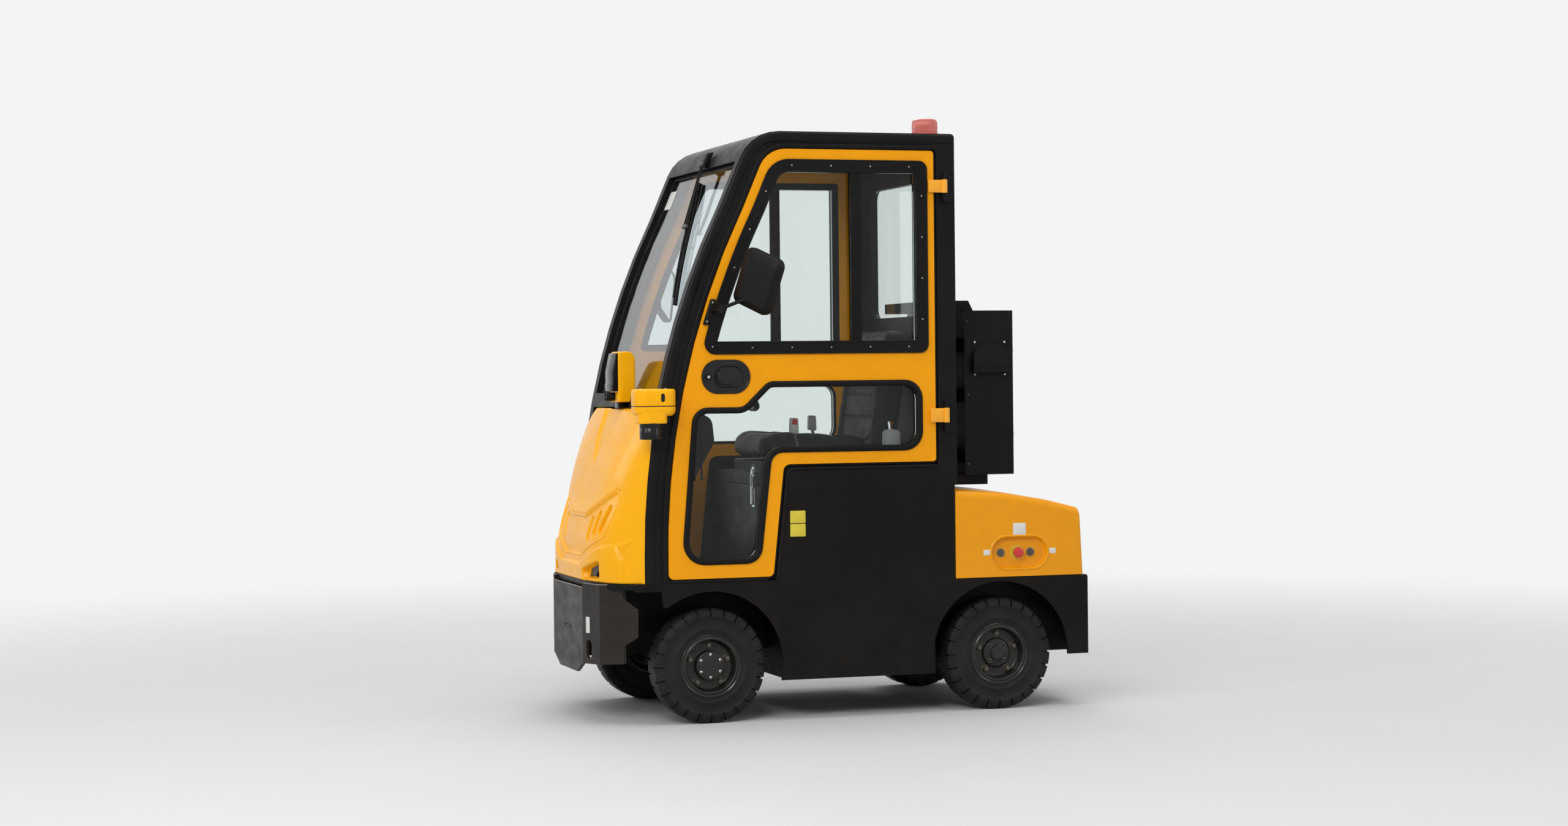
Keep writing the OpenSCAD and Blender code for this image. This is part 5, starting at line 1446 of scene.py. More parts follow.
@dataclass
class Beacon:
    """The warning beacon: a base, a ribbed translucent dome and the lamp inside it."""

    spot: tuple[float, float, float] = (-373.0, 340.0, 2119.0)

    def build(self) -> None:
        """Build base, lamp and dome."""
        base = Shell("beacon_base")
        rows = [(0.01, 0), (49, 0), (50, 1), (50, 10), (49, 13), (46.5, 14), (38, 14.5), (14, 14.6), (12, 16),
                (12, 44), (9, 50), (0.01, 52)]
        base.turned(rows, self.spot, UP, Paint.BEACON_BASE, 72)
        base.build("chassis", "black_plastic", angle=32.0)
        dome = Shell("beacon_lens")
        outer = np.array([(48, 13.6), (48.4, 16), (48.2, 22), (47.2, 23.2), (47.2, 40), (46.6, 52), (44, 60),
                          (38, 64.6), (28, 66.6), (14, 67), (0.01, 67)])
        points = revolve(outer, self.spot, UP, 180)
        ribs = 0.7 * np.sign(np.cos(np.linspace(0, 2 * np.pi * 60, 180, False) + 0.3))
        band = step(outer[:, 1], 23, 24) * step(-outer[:, 1], -58, -50)
        away = (points - self.spot) * (1, 1, 0)
        away /= np.maximum(np.linalg.norm(away, axis=-1, keepdims=True), 1e-6)
        dome.grid(points + away * (band[:, None] * ribs[None])[..., None], Paint.BEACON, wrap_v=True)
        inner = revolve(outer * (0.955, 0.965), self.spot, UP, 180)
        dome.grid(inner, Paint.BEACON, wrap_v=True, flip=True)
        dome.build("chassis", "beacon_lens", ["beacon"], angle=32.0)


# ---------------------------------------------------------------- doors and mirrors

@dataclass
class DoorDetail:
    """What sits on a door: latch, hinges, seals, screws and mirror."""

    side: str
    latch: tuple[float, float] = (449.0, 1239.0)
    hinges: Rows = ((1903.0, 1950.0), (1064.0, 1116.0))
    mirror_turn: float = 32.0
    mirror_lean: float = -22.0

    def seals(self) -> None:
        """A fat rounded seal round the lower window and lips round the upper one."""
        sign = SIDES[self.side]
        shell = Shell(f"door_{self.side}_seals")
        window = window_outline()
        rows = [(lower_outline(), 10.5, 2.0, 11.2, 16, 0.625), (window, 3.0, 5.4, 3.2, 10, 1.0),
                (window, 43.0, 5.2, 3.4, 10, 1.0), (window, 24.0, 6.6, 1.5, 10, 1.0),
                (door_outline(), -5.2, -9.0, 4.6, 10, 1.5)]
        for outline, away, out, radius, n, squash in rows:
            path = on_frame(inset(outline, away), side_frame(sign, PLAN.half_w + out))
            tube(shell, path, radius, Paint.RUBBER, n, True, ASIDE, squash)
        shell.build(f"door_{self.side}", "seal_rubber", angle=50.0)

    def screws(self) -> None:
        """Small screws round the upper window frame, evenly spaced."""
        sign = SIDES[self.side]
        shell = Shell(f"door_{self.side}_screws")
        ring = inset(window_outline(), 23.0)
        ring = np.vstack([ring, ring[:1]])
        around = run_length(ring)
        for d in (np.linspace(0, around[-1], 18, False) + 60) % around[-1]:
            x, z = (np.interp(d, around, ring[:, k]) for k in (0, 1))
            dome_screw(shell, (x, sign * (PLAN.half_w + 7.0), z), (0, sign, 0), 3.0)
        shell.build(f"door_{self.side}", "steel", angle=50.0)

    def hardware(self) -> None:
        """The oval latch with its paddle and key lock, and two yellow hinge straps."""
        sign = SIDES[self.side]
        name = f"door_{self.side}"
        shell = Shell(f"{name}_latch")
        x, z = self.latch
        frame = side_frame(sign, PLAN.half_w, x, z)
        oval = box(-91, -61, 91, 61, 60, 16)
        rows = [(0, 0), (3.0, 0), (4.6, 1.2), (5.0, 3.0), (5.0, 7), (4.2, 8.2), (4.2, 10), (5.0, 11),
                (4.6, 14)]
        shell.stack(oval, frame, rows, Paint.GLOSS_BLACK)
        shell.fan(on_frame(inset(oval, 14), frame, 4.6), Paint.GLOSS_BLACK, flip=sign > 0)
        cup = box(-62, -37, 44, 37, 34, 12)
        rows = ((4.0, -3.0), (6.6, -1.6), (7.2, 0), (6.6, 1.6), (3.4, 3.4), (2.0, 6))
        shell.stack(cup, frame, rows, Paint.PLASTIC)
        paddle = rounded([(-42, -30, 26), (36, -26, 24), (36, 26, 24), (-42, 30, 26)], 10)
        tilt = np.array([frame[0], frame[1] * 0.995 + frame[3] * 0.10, frame[2], frame[3]])
        shell.plate(paddle, tilt, 1, 11.0, Paint.GLOSS_BLACK, 3.5, 4)
        lock = on_frame(np.array([(66.0, 0.0)]), frame, 4.5)[0]
        ring = [(12, -1), (12, 3.4), (10.8, 4.6), (8.6, 4.8), (8.0, 3.6), (7.6, 3.2), (0.01, 3.2)]
        shell.turned(ring, lock, (0, sign, 0), Paint.PLASTIC, 36)
        shell.turned([(5.4, 2.8), (5.2, 4.2), (0.01, 4.4)], lock, (0, sign, 0), Paint.STEEL, 28)
        shell.build(name, "black_plastic", [f"{name}_hardware"], angle=32.0)
        straps = Shell(f"{name}_hinges")
        for low, high in self.hinges:
            outline = rounded([(-389, low, 2), (-327, low + 1, 6), (-327, high - 1, 6), (-389, high, 2)], 4)
            plate = side_frame(sign, PLAN.half_w)
            straps.plate(outline, plate, 8.2, 16.0, Paint.HINGE, 2.0)
            pad = rounded([(-349, low, 2), (-327, low, 6), (-327, high, 6), (-349, high, 2)], 4)
            straps.plate(pad, plate, 0.1, 9.0, Paint.HINGE)
            long = high - low
            eye = [(5.2, -1), (9.8, -0.8), (11, 0.4), (11, long - 0.4), (9.8, long + 0.8), (5.2, long + 1)]
            straps.turned(eye, (-389.0, sign * (PLAN.half_w + 15), low), UP, Paint.HINGE, 32)
        straps.build(name, "yellow_paint", angle=32.0)

    def mirror(self) -> None:
        """The mirror: a moulded shell with a ridge, its glass, and a bent arm on a bracket."""
        sign = SIDES[self.side]
        turn, lean = math.radians(self.mirror_turn), math.radians(self.mirror_lean)
        centre = np.array([370.0, sign * (PLAN.half_w + 139), 1575.0])
        front = np.array([math.cos(turn), sign * math.sin(turn), 0])
        across = np.array([-math.sin(turn), sign * math.cos(turn), 0])
        rise = np.cross(front, across) * sign
        side = across * math.cos(lean) + rise * math.sin(lean)
        top = rise * math.cos(lean) - across * math.sin(lean)
        ring = box(-86, -104, 86, 104, 28, 10)
        rows = [(-19, 0.90, 0), (-22, 0.925, 0), (-23, 0.95, 0), (-22.4, 0.975, 0), (-19, 0.992, 0),
                (-8, 1.0, 0), (1, 1.0, 0), (2.5, 0.985, 0), (4, 0.984, 0), (7, 0.975, 0), (10, 0.945, 2),
                (19, 0.815, 10), (21.4, 0.785, 12), (22.8, 0.75, 13), (23.4, 0.70, 13), (23.7, 0.4, 13),
                (23.7, 0.001, 13)]
        pane = [(-19, 0.90, 0), (-18.4, 0.895, 0), (-19.6, 0.001, 0)]
        shell = Shell(f"mirror_{self.side}_shell")
        for part, finish, flip in ((rows, Paint.PLASTIC, sign > 0), (pane, Paint.MIRROR, sign < 0)):
            grid = [centre + (ring[:, :1] * k + m) * side + ring[:, 1:] * k * top + h * front
                    for h, k, m in part]
            shell.grid(np.stack(grid), finish, wrap_v=True, flip=flip)
        edge = PLAN.edge(1475) - 108
        elbow = np.array([480.0, sign * (PLAN.half_w + 65), 1478.0])
        end = centre + (3, -2 * sign, -47)
        arm = soft_path([(edge, sign * (PLAN.half_w + 6), 1475),
                         (edge - 12, sign * (PLAN.half_w + 30), 1475.5),
                         elbow + (14, -6 * sign, -4), elbow + (-8, 10 * sign, 8), end], 8)
        tube(shell, arm, 6.6, Paint.PLASTIC, 14)
        collar = [(0.01, -15), (10.5, -15), (12, -13.5), (12, 13.5), (10.5, 15), (0.01, 15)]
        shell.turned(collar, elbow, UP, Paint.PLASTIC, 28)
        foot = rounded([(PLAN.edge(z) - away, z, 4)
                        for z, away in ((1424, 118), (1424, 98), (1516, 98), (1516, 118))], 4)
        shell.plate(foot, side_frame(sign, PLAN.half_w), 0.2, 12, Paint.PLASTIC, 3.0)
        for z in (1436.0, 1504.0):
            dome_screw(shell, (PLAN.edge(z) - 108, sign * (PLAN.half_w + 11.8), z), (0, sign, 0), 3.6)
        shell.build(f"door_{self.side}", "mirror_shell", [f"mirror_{self.side}"], angle=32.0)

    def build(self) -> None:
        """Build every piece of the door."""
        self.seals()
        self.screws()
        self.hardware()
        self.mirror()


# ---------------------------------------------------------------- cab edges, wiper and plates

@dataclass
class CabEdges:
    """Mouldings on the cab's black frame: a wide rounded band, a seal beside the door and its ribs."""

    band: float = 20.0
    seal: float = 74.0

    def line(self, away: float, top: float, radius: float, end: float) -> Array:
        """A path up the front pillar, over the top corner and back along the rail."""
        return rounded([(PLAN.edge(510) - away, 510, 0), *pillar_rows(np.linspace(600, 1850, 16), away),
                        (PLAN.edge(top) - away, top, radius), (end, top, 0)], 14)

    def strip(self, shell: Shell, path: Array, sign: float, width: float, high: float,
              finish: Finish) -> None:
        """A half-round strip: section (w cos t, h sin t) along a path on the side face."""
        bow = arc((0, 0), 1.0, 0, 180, 11) * (width / 2, high)
        section = np.vstack([bow, [(-width / 2, -1), (width / 2, -1)]])
        spots = np.stack([path[:, 0], np.full(len(path), sign * PLAN.half_w), path[:, 1]], -1)
        shell.grid(sweep(spots, section, (0, sign, 0)), finish, wrap_v=True, caps=True)

    def build(self) -> None:
        """Build the strips of both sides."""
        for name, sign in SIDES.items():
            shell = Shell(f"cab_mouldings_{name}")
            back = PLAN.post + 10
            outer = self.line(self.band, PLAN.roof_z - self.band, 150, PLAN.cab_back + 12)
            inner = self.line(self.seal, PLAN.door_top + 12, 118, back)
            ledge = rounded([(262, 512, 0), (219, 905, 26), (PLAN.post + 4, 905, 0)], 10)
            sill = np.array([(662, 511.0), (300, 511.0)])
            for path, width, high, finish in ((outer, 34.0, 6.5, Paint.FRAME),
                                              (inner, 19.0, 5.0, Paint.RUBBER),
                                              (ledge, 13.0, 5.0, Paint.RUBBER),
                                              (sill, 9.0, 4.0, Paint.RUBBER)):
                self.strip(shell, path, sign, width, high, finish)
            ribs = self.line(self.seal - 13.5, PLAN.door_top + 25, 130, back)
            length = run_length(ribs)
            at = np.arange(0, length[-1], 3.0)
            x, z = (np.interp(at, length, ribs[:, k]) for k in (0, 1))
            size = (2.2 + 0.9 * (np.arange(len(at)) % 2))[:, None, None]
            spots = np.stack([x, np.full(len(at), sign * (PLAN.half_w + 1.0)), z], -1)
            tubes = sweep(spots, circle(1.0, 8), (0, sign, 0))
            shell.grid(spots[:, None] + (tubes - spots[:, None]) * size, Paint.RUBBER, wrap_v=True, caps=True)
            shell.build("chassis", "seal_rubber", angle=40.0)
        lip = NoseCowl().base(*np.meshgrid(np.linspace(-1, 1, 121), [506.0]))[0]
        gasket = Shell("nose_gasket")
        tube(gasket, lip + (1.0, 0, -10.0), 3.0, Paint.RUBBER, 14, squash=4.0)
        # A pale tube along the bumper's top edge: wear and a painted highlight of that edge.
        half = [(760.0, 439.0, 501.0), (889.0, 345.0, 501.0), (918.0, 236.0, 501.0), (919.0, 220.0, 484.5)]
        edge = np.array(half + [(x, -y, z) for x, y, z in reversed(half)])
        tube(gasket, edge, 2.2, Paint.EDGE_WEAR_AND_HIGHLIGHT, 10)
        gasket.build("chassis", "seal_rubber")


@dataclass
class Wiper:
    """The windscreen wiper: motor cover, two parallel rods, a joint and a long blade with its claws."""

    rods: tuple[float, float] = (60.0, 140.0)
    joint_z: float = 1790.0
    ends: tuple[tuple[float, float], tuple[float, float]] = ((10.0, 1960.0), (330.0, 1500.0))

    def spot(self, y: float, z: float, out: float) -> tuple[float, float, float]:
        """A place in front of the windscreen's pillar line."""
        return PLAN.edge(z) + out, y, z

    def build(self) -> None:
        """Build the piece."""
        shell = Shell("wiper_arm")
        cover = rounded([(PLAN.edge(z) + out, z, r) for z, out, r in (
            (2016, 0.4, 0), (2016, 20, 5), (2040, 26, 9), (2070, 24, 9), (2074, 0.4, 0))], 6)
        rings = loaf(cover, side_frame(1.0, 30), 60, 6.0, (0, 1.5, 4.0, 8.0), 0.8)
        shell.grid(np.stack(rings), Paint.PLASTIC, wrap_v=True, caps=True)
        collar = [(0.01, 0), (7.5, 0), (8.5, 1.5), (8.5, 12), (7, 14), (0.01, 14)]
        for d in (-11.0, 11.0):
            ya, yb = self.rods[0] + d, self.rods[1] + d
            path = [self.spot(ya, 2024, 20), self.spot(ya + 6, 2000, 17), self.spot(yb, self.joint_z, 9)]
            tube(shell, soft_path(path, 6), 3.2, Paint.PLASTIC, 10)
            for spot in (self.spot(ya, 2026, 14), self.spot(yb, self.joint_z, 0)):
                shell.turned(collar, spot, (1, 0, 0.3), Paint.DARK_STEEL, 20)
        joint = [self.spot(self.rods[1] + d, self.joint_z, 7) for d in (-14, 14)]
        tube(shell, np.array(joint), 5.0, Paint.PLASTIC, 12)
        (ya, za), (yb, zb) = self.ends
        t = np.linspace(0, 1, 48)
        y, z = ya + (yb - ya) * t, za + (zb - za) * t
        glass = np.stack([PLAN.pillar(z), y, z], -1)
        tube(shell, glass + (-16, 0, 0), 4.0, Paint.RUBBER, 10, squash=2.0, up=(1, 0, 0.3))
        tube(shell, glass + (-8, 0, 0), 3.6, Paint.PLASTIC, 8, squash=0.5, up=(1, 0, 0.3))
        bow = np.sin(np.pi * t)[:, None] * (4.0, 9.0, 3.0) - (6, 0, 0)
        tube(shell, (glass + bow)[3:-3], 3.4, Paint.PLASTIC, 10)
        for k in (3, 14, 24, 34, 44):
            claw = np.array([glass[k] + (-12, 0, 0), glass[k] + bow[k] + AHEAD])
            tube(shell, claw, 4.6, Paint.PLASTIC, 10, up=(0, 1, 0.2))
        shell.build("chassis", "black_plastic", ["wiper"], angle=40.0)


@dataclass
class Plates:
    """Bare label plates and stickers, each a thin sheet with rounded corners."""

    def build(self) -> None:
        """Build the plates, each laid on the face below it."""
        shell = Shell("label_plates")
        side = PLAN.half_w
        rows = [((184, 731.5), (58, 45), Paint.PLATE), ((184, 683.5), (58, 45), Paint.PLATE),
                ((-678.5, 663), (51, 48), Paint.LABEL), ((-549.5, 581), (29, 20), Paint.LABEL),
                ((-809, 581), (29, 20), Paint.LABEL)]
        for (x, z), (w, h), finish in rows:
            outline = box(-w / 2, -h / 2, w / 2, h / 2, 3, 4)
            shell.plate(outline, side_frame(1.0, side, x, z), -0.2, 0.7, finish, 0.3)
        run = unit((-33.0, 120.0, 0.0))
        facet = np.array([(PLAN.front_reach - 10.0, 262, 352), run, UP, (run[1], -run[0], 0)], float)
        shell.plate(box(-13, -29, 13, 29, 3, 4), facet, -0.4, 0.8, Paint.LABEL, 0.3)
        slope = unit((PLAN.edge(1960) - PLAN.edge(1880), 0, 80.0))
        pane = np.array([(PLAN.edge(1920) - 23.6, -365, 1920), ASIDE, slope, (slope[2], 0, -slope[0])], float)
        shell.plate(box(-42, -38, 42, 38, 5, 4), pane, -0.3, 0.5, Paint.LABEL)
        shell.build("chassis", "yellow_paint", angle=40.0)


# ---------------------------------------------------------------- cabinet

@dataclass
class CabinetDetail:
    """What sits on the cabinet: the hood's flange and screws, spacer bolts, lid frame and its locks."""

    hood: tuple[float, float] = (-638.0, 1245.0)
    wall: float = 300.0
    lid_x: float = -734.4

    def build(self) -> None:
        """Build the pieces on the box and on the lid."""
        shell = Shell("cabinet_fittings")
        x, z = self.hood
        flange = box(-70, -14, 68, 122, 6, 4)
        rows = ((-0.5, 0), (1.6, 0), (2.2, 0.6), (2.2, 9.0), (-0.5, 9.0))
        shell.stack(flange, side_frame(1.0, self.wall, x, z), rows, Paint.FRAME)
        for dx, dz in ((-61, -7), (59, -7), (-61, 113), (59, 113)):
            dome_screw(shell, (x + dx, self.wall + 2.0, z + dz), ASIDE, 4.6, Paint.CHROME)
        for z in (931.0, 1161.0, 1349.0):
            for sign in SIDES.values():
                for x in (-512.0, -462.0):
                    hex_nut(shell, (x, sign * 220.0, z), (0, sign, 0), 8.0, 7.0, Paint.DARK_STEEL)
        for sign in SIDES.values():
            for z in (902.0, 1162.0, 1437.0):
                spot = (-552.0, sign * (self.wall - 0.2), z)
                dome_screw(shell, spot, (0, sign, 0), 3.6, Paint.DARK_STEEL)
        shell.build("chassis", "black_frame", angle=40.0)
        lid = Shell("cabinet_lid_fittings")
        rows = ((-0.5, 0), (2.4, 1.5), (3.6, 4.5), (3.6, 11), (2.4, 14), (-0.5, 15.5))
        lid.stack(box(-262, -270, 262, 270, 20), self.on_lid(0, 1169.5), rows, Paint.FRAME)
        cup = [(15, -0.5), (15, 2.0), (13.8, 3.4), (11, 3.6), (10.2, 2.0), (0.01, 2.0)]
        for low in (1010.0, 1330.0):
            place = self.on_lid(281.0, low)
            lid.turned(cup, place[0], (-1, 0, 0), Paint.STEEL, 36)
            lid.plate(box(-7, -2.2, 7, 2.2, 2, 4), place, 1, 5.4, Paint.DARK_STEEL, 0.6)
        rows = ((-0.5, 0), (2.0, 0.6), (3.4, 2.2), (3.8, 3.9))
        for k in range(6):
            lid.stack(box(-90, -4, 90, 4, 4, 5), self.on_lid(0, 920 + 16.0 * k), rows, Paint.FRAME, True)
        lid.build("cabinet_door", "black_frame", angle=40.0)

    def on_lid(self, y: float, z: float) -> Array:
        """The frame of a place on the lid, seen from behind."""
        return np.array([(self.lid_x, y, z), (0, -1, 0), UP, (-1, 0, 0)], float)


# ---------------------------------------------------------------- cab inside

def coordinates(made: Object) -> Array:
    """The object's points as an array."""
    flat = np.empty(len(made.data.vertices) * 3)
    made.data.vertices.foreach_get("co", flat)
    return flat.reshape(-1, 3)


def reshape(made: Object, points: Array) -> None:
    """Move the object's points."""
    made.data.vertices.foreach_set("co", points.ravel())
    made.data.update()


def settled(made: Object) -> None:
    """Replace the object's mesh by what its modifiers make of it, and drop them."""
    seen = made.evaluated_get(bpy.context.evaluated_depsgraph_get())
    mesh = bpy.data.meshes.new_from_object(seen)
    made.modifiers.clear()
    made.data = mesh


@dataclass
class Pad:
    """A padded form swollen by cloth under pressure, then sewn along its channels.

    The starting form stands on a frame of origin, width, height and thickness directions.
    """

    name: str
    node: str
    frame: Array
    width: float
    height: float
    thick: float
    bolster: float = 14.0
    channels: Floats = ()
    voxel: float = 0.006
    cap: float = 0.012
    pressure: float = 4.0
    frames: int = 20
    seam_deep: float = 6.0

    def form(self) -> Object:
        """The form before it swells: rings of a rounded outline, whose front rises to its sides."""
        w, h, r = self.width / 2, self.height, 26.0
        outline = rounded([(-w, 0, 60), (w, 0, 60), (w, h, 80), (-w, h, 80)], 10)
        turn = np.linspace(0, np.pi / 2, 6)
        rows = [(0.0, 10.0), (4.0, 3.0), (14.0, 0.0)]
        rows += [(self.thick - r + r * math.sin(a), r * (1 - math.cos(a))) for a in turn]
        shell = Shell(self.name + "_form")
        shell.stack(outline, self.frame, rows, Paint.VINYL, True)
        mesh = bpy.data.meshes.new(self.name)
        mesh.from_pydata(shell.places().tolist(), [], [f for block in shell.faces for f in block.tolist()])
        merge_close(mesh)
        return put(self.name, mesh)

    def swell(self, made: Object) -> None:
        """Remesh evenly, blow up by cloth for some frames, and cap how far a point moves."""
        modify(made, "even", "REMESH", mode="VOXEL", voxel_size=self.voxel)
        settled(made)
        before = coordinates(made)
        cloth = modify(made, "cloth", "CLOTH")
        cloth.settings.quality = 5
        cloth.settings.use_pressure = True
        cloth.settings.uniform_pressure_force = self.pressure
        cloth.settings.effector_weights.gravity = 0.0
        cloth.point_cache.frame_start, cloth.point_cache.frame_end = 1, self.frames
        for at in range(1, self.frames + 1):
            bpy.context.scene.frame_set(at)
        settled(made)
        bpy.context.scene.frame_set(1)
        moved = coordinates(made) - before
        moved -= moved.mean(0)
        far = np.linalg.norm(moved, axis=1, keepdims=True)
        moved *= np.minimum(1.0, self.cap / np.maximum(far, 1e-9))
        reshape(made, before + moved)

    def sew(self, made: Object) -> None:
        """Draw the surface in along the seam of the middle panel and along its channels.

        Each point moves against the thickness direction by 6 exp(-(d / 4)^2) mm, where d is its distance
        from the nearest seam, and the sides rise as bolsters.
        """
        points = coordinates(made)
        local = (points - (PLAN.datum * MM, 0, 0)) / MM - self.frame[0]
        u, v, t = (local @ self.frame[k] for k in (1, 2, 3))
        front = step(t, self.thick * 0.45, self.thick * 0.8)
        w = self.width / 2 - 66
        top = self.height - 60
        panel = inside(rounded([(-w, 50, 50), (w, 50, 50), (w, top, 60), (-w, top, 60)]), u, v)
        out = self.bolster * step(np.abs(u), w - 6, w + 34) * front
        seam = np.exp(-(panel / 4.0) ** 2)
        for line in self.channels:
            seam = np.maximum(seam, 0.8 * np.exp(-((v - line) / 4.5) ** 2) * step(panel, 0, 6))
        out -= self.seam_deep * seam * front
        rim = self.width / 2 - np.abs(u)
        piping = np.exp(-((t - self.thick * 0.42) / 3.0) ** 2) * (rim < 40)
        points += (out * MM)[:, None] * self.frame[3]
        points[:, 1] -= np.sign(u) * np.sign(self.frame[1][1]) * 0.002 * piping
        reshape(made, points)

    def build(self) -> None:
        """Build the pad."""
        made = self.form()
        self.swell(made)
        modify(made, "finer", "SUBSURF", levels=1, render_levels=1)
        settled(made)
        self.sew(made)
        made.data.materials.clear()
        made.data.materials.append(Paint.VINYL.make())
        made.data.polygons.foreach_set("use_smooth", np.ones(len(made.data.polygons), bool))
        ride(made, "chassis", [self.node])


@dataclass
class CabInside:
    """The seat, belt, steering wheel, instruments and the latch of the seat's box."""

    wheel: tuple[float, float, float] = (330.0, 0.0, 1225.0)
    tilt: float = 38.0

    def seat(self) -> None:
        """Two pads in the places of the CAD's cushions."""
        rise = unit((450.0, 0, 25.0))
        base = np.array([(-192, 0, 927), (0, -1, 0), rise, (-rise[2], 0, rise[0])], float)
        Pad("seat_cushion_pad", "seat_cushion", base, 456.0, 428.0, 66.0, 10.0, (150.0, 260.0)).build()
        up = unit((-70.0, 0, 495.0))
        lean = np.array([(-286, 0, 932), ASIDE, up, (up[2], 0, -up[0])], float)
        Pad("seat_back_pad", "seat_back", lean, 456.0, 482.0, 74.0, 12.0, (140.0, 230.0, 320.0)).build()

    def steering(self) -> None:
        """The wheel: P = c + (170 + r cos v) e(u) + r sin v k with finger bumps under the rim."""
        a = math.radians(self.tilt)
        k = np.array([-math.sin(a), 0, math.cos(a)])
        e1 = np.array([math.cos(a), 0, math.sin(a)])
        e2 = np.cross(k, e1)
        centre = np.array(self.wheel)
        u, v = np.meshgrid(*(np.linspace(0, 2 * np.pi, n, False) for n in (168, 16)), indexing="ij")
        r = 13.0 * (1 - 0.09 * (0.5 + 0.5 * np.cos(28 * u)) * np.maximum(0, -np.sin(v)))
        ring = np.cos(u)[..., None] * e1 + np.sin(u)[..., None] * e2
        shell = Shell("steering_wheel_rim")
        grip = centre + (170 + r * np.cos(v))[..., None] * ring + (r * np.sin(v))[..., None] * k
        shell.grid(grip, Paint.PLASTIC, wrap_u=True, wrap_v=True)
        for angle in (90, 210, 330):
            b = math.radians(angle)
            out = math.cos(b) * e1 + math.sin(b) * e2
            path = [centre + out * r - k * d for r, d in ((26, 9), (80, 12), (130, 7), (164, 1))]
            tube(shell, soft_path(path, 6), 13.0, Paint.PLASTIC, 16, squash=0.34, up=k)
        hub = [(21, -30), (37, -30), (38, -28), (38, -2), (36, 3), (31, 6), (29, 5.4), (28, 6.6), (22, 9),
               (10, 10.4), (0.01, 10.8)]
        shell.turned(hub, centre, k, Paint.PLASTIC, 48)
        knob = [(5, -2), (5, 16), (13, 22), (17, 30), (17, 38), (13, 45), (6, 48), (0.01, 48.5)]
        b = math.radians(30)
        spot = centre + (math.cos(b) * e1 + math.sin(b) * e2) * 168 + k * 8
        shell.turned(knob, spot, k, Paint.GLOSS_BLACK, 32)
        shell.build("steering_wheel", "black_plastic", ["steering_wheel"], angle=40.0)

    def instruments(self) -> None:
        """A pod with a bare display and rocker switches on the dash, and ribs on the console."""
        shell = Shell("dash_fittings")
        tilt = math.radians(28)
        frame = np.array([(470, 0, 1092), (0, -1, 0), (math.sin(tilt), 0, math.cos(tilt)),
                          (-math.cos(tilt), 0, math.sin(tilt))], float)
        pod = rounded([(-118, -6, 10), (118, -6, 10), (104, 88, 26), (-104, 88, 26)], 6)
        rows = ((-26, 6), (-22, 1.5), (-16, 0), (10, 0), (16, 1.6), (19, 5), (19, 9), (14, 12))
        shell.stack(pod, frame, rows, Paint.DASH, True)
        screen = box(-52, 16, 52, 74, 5, 4)
        shell.plate(screen, frame, 13, 16.5, Paint.SENSOR, 1.0)
        for x in (-86.0, -68.0, 70.0, 88.0):
            shell.plate(box(x - 7, 26, x + 7, 54, 2, 3), frame, 13, 19.5, Paint.GLOSS_BLACK, 1.5)
        for k in range(7):
            x = 470.0 + 26.0 * k
            rib = np.array([(x, 230.5, 700.0 if x > 560 else 860.0 - k), (x, 230.5, 1060.0)])
            tube(shell, rib, 3.6, Paint.DASH, 8, up=ASIDE)
        shell.build("chassis", "black_plastic", angle=40.0)

    def belt(self) -> None:
        """A belt reel with its tongue on one side of the seat and a buckle on a stalk on the other."""
        shell = Shell("seat_belt")
        side = side_frame(1.0, 250)
        case = rounded([(-284, 925, 8), (-226, 925, 8), (-226, 1036, 18), (-284, 1036, 18)], 6)
        shell.plate(case, side, 0, 44, Paint.PANEL, 5.0, 3)
        tongue = rounded([(-266, 1030, 3), (-244, 1030, 3), (-241, 1068, 6), (-269, 1068, 6)], 4)
        shell.plate(tongue, side_frame(1.0, 270), 0, 4, Paint.CHROME, 1.0)
        for sign, x in ((1.0, 120.0), (-1.0, -120.0)):
            stalk = soft_path([(x - 30, sign * 250, 926), (x - 14, sign * 252, 980), (x, sign * 254, 1032)],
                              6)
            tube(shell, stalk, 5.0, Paint.WEB, 10, squash=1.6, up=ASIDE)
            body = rounded([(x - 16, 1024, 7), (x + 18, 1030, 7), (x + 16, 1086, 7), (x - 14, 1084, 7)], 4)
            place = side_frame(sign, 246)
            shell.plate(body, place, 0, 17, Paint.BUCKLE, 3.0, 3)
            press = rounded([(x - 9, 1060, 3), (x + 11, 1061, 3), (x + 10, 1080, 3), (x - 9, 1079, 3)], 4)
            shell.plate(press, place, 16, 18.6, Paint.TAG, 1.0)
        shell.build("chassis", "vinyl", angle=40.0)

    def toggle(self) -> None:
        """The toggle latch on the front of the seat's box: plate, lever, wire bail and catch."""
        shell = Shell("box_latch")
        front = np.array([(225.2, 80, 0), ASIDE, UP, AHEAD], float)
        for low, high, w in ((752, 826, 19), (866, 902, 15)):
            shell.plate(box(-w, low, w, high, 4, 4), front, 0, 2.2, Paint.CHROME, 0.8)
        lever = rounded([(-12, 760, 6), (12, 760, 6), (9, 828, 5), (-9, 828, 5)], 4)
        shell.plate(lever, front, 2, 11, Paint.CHROME, 3.0, 3)
        shell.plate(box(-10, 872, 10, 894, 4, 4), front, 2, 9, Paint.CHROME, 2.0)
        wire = soft_path([(233, 69, 822), (234, 69, 850), (233, 71, 884), (234, 80, 890), (233, 89, 884),
                          (234, 91, 850), (233, 91, 822)], 6)
        tube(shell, wire, 1.9, Paint.CHROME, 8, up=AHEAD)
        for y, z in ((68, 840), (92, 840), (70, 908), (90, 908)):
            dome_screw(shell, (225.4, y, z), AHEAD, 3.4)
        shell.build("chassis", "steel", angle=40.0)

    def build(self) -> None:
        """Build all of it."""
        self.seat()
        self.steering()
        self.instruments()
        self.belt()
        self.toggle()


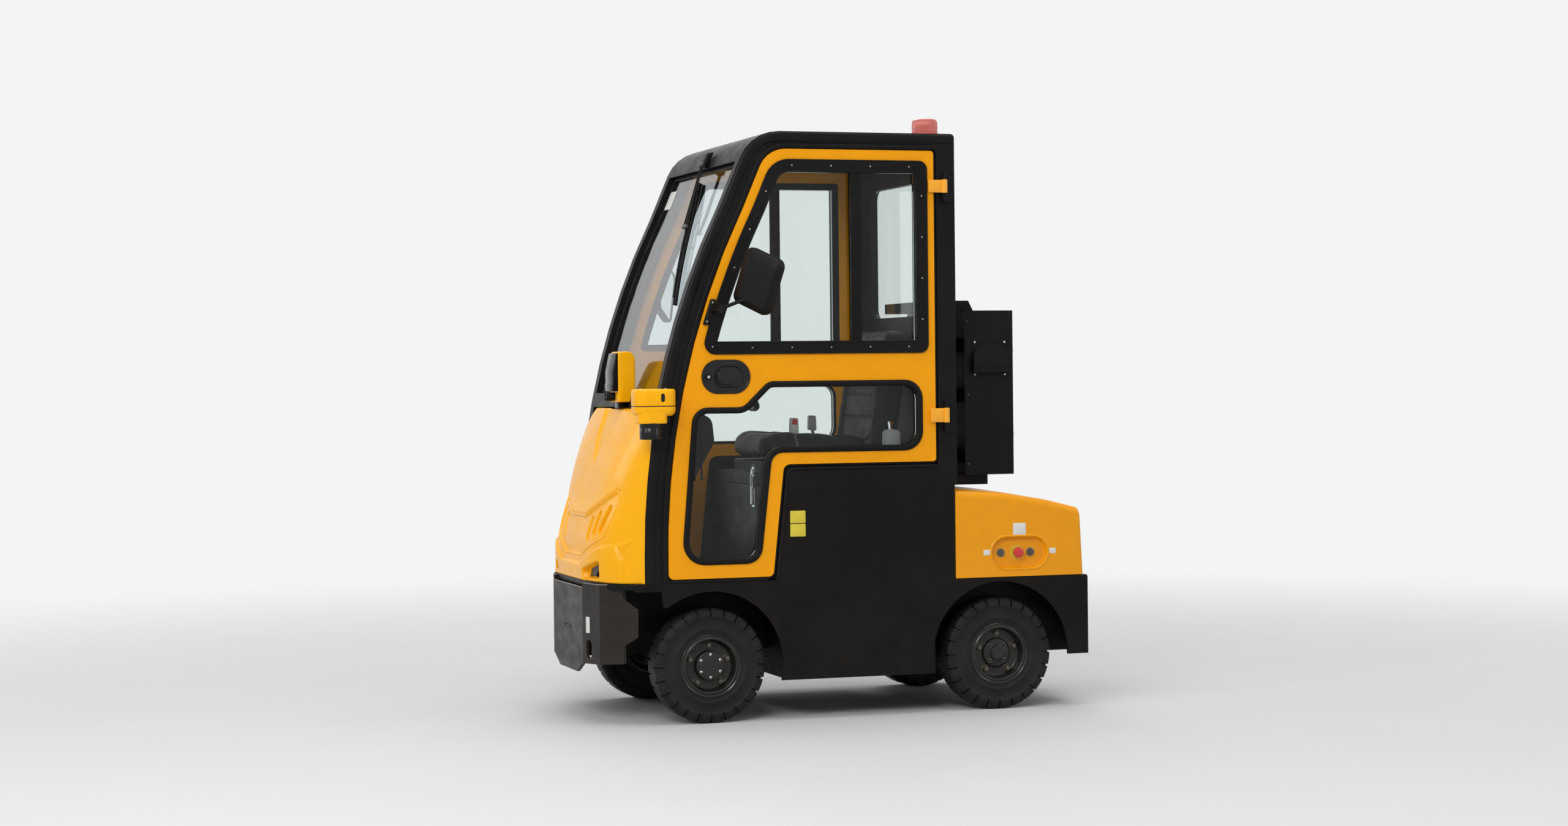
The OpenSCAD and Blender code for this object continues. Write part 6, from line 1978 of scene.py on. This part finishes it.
# ---------------------------------------------------------------- the CAD nodes that stay

def dress_frame() -> None:
    """Give every CAD node its finish; the pieces that replace some of them come later."""
    rows = [("side_skirts battery_tray rear_frame front_frame", Paint.SKIRT, 1.2),
            ("front_bumper", Paint.BUMPER, 1.5), ("cab_floor", Paint.FRAME, 3),
            ("cab_frame", Paint.FRAME, 8, 40.0, 3), ("roof", Paint.FRAME, 4),
            ("cab_trim", Paint.PLASTIC, 4, 30.0, 3), ("cab_seals", Paint.RUBBER, 3, 30.0, 3),
            ("nose_cowl rear_cowl", Paint.COWL), ("sensor_box corner_module", Paint.COWL, 4, 30.0, 3),
            ("lamps", Paint.GLOSS_BLACK, 1), ("rear_controls", Paint.BUTTON, 1), ("tow_hitch", Paint.CAST, 2),
            ("windscreen", Paint.SCREEN), ("rear_window", Paint.GLASS), ("beacon", Paint.BEACON),
            ("wiper steering_wheel", Paint.PLASTIC, 1), ("dashboard", Paint.DASH, 6, 30.0, 3),
            ("seat_box", Paint.DASH, 4), ("seat_cushion seat_back", Paint.VINYL, 20, 30.0, 4),
            ("front_axle drive_axle knuckle_left knuckle_right", Paint.CAST, 2),
            ("tie_rod", Paint.DARK_STEEL, 1), ("battery", Paint.CASE, 4),
            ("sensor_optics", Paint.SENSOR, 2),
            ("cabinet_mount cabinet_body cabinet_door", Paint.FRAME, 3)]
    for side in SIDES:
        rows += [(f"door_{side}_panel", Paint.DOOR, 3, 30.0, 3),
                 (f"door_{side}_trim", Paint.RUBBER, 2.5, 30.0, 3),
                 (f"door_{side}_glass", Paint.GLASS), (f"door_{side}_hardware", Paint.PLASTIC, 1),
                 (f"mirror_{side}", Paint.PLASTIC, 8, 30.0, 3),
                 (f"tyre_front_{side} tyre_rear_{side}", Paint.TYRE, 2),
                 (f"rim_front_{side} rim_rear_{side}", Paint.RIM, 0.8)]
    for names, *how in rows:
        for name in names.split():
            dress(name, *how)


def main() -> None:
    """Build the studio and every piece in turn."""
    logging.basicConfig(level=logging.INFO, format="%(name)s: %(message)s")
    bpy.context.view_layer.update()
    Studio().build()
    dress_frame()
    wheels = [Wheel(end, side) for end in ("front", "rear") for side in SIDES]
    doors = [DoorDetail(side) for side in SIDES]
    for part in (NoseCowl(), RearCowl(), *wheels, Sensors(), Beacon(), *doors, CabEdges(), Wiper(), Plates(),
                 CabinetDetail(), CabInside()):
        part.build()


if __name__ == "__main__":
    main()
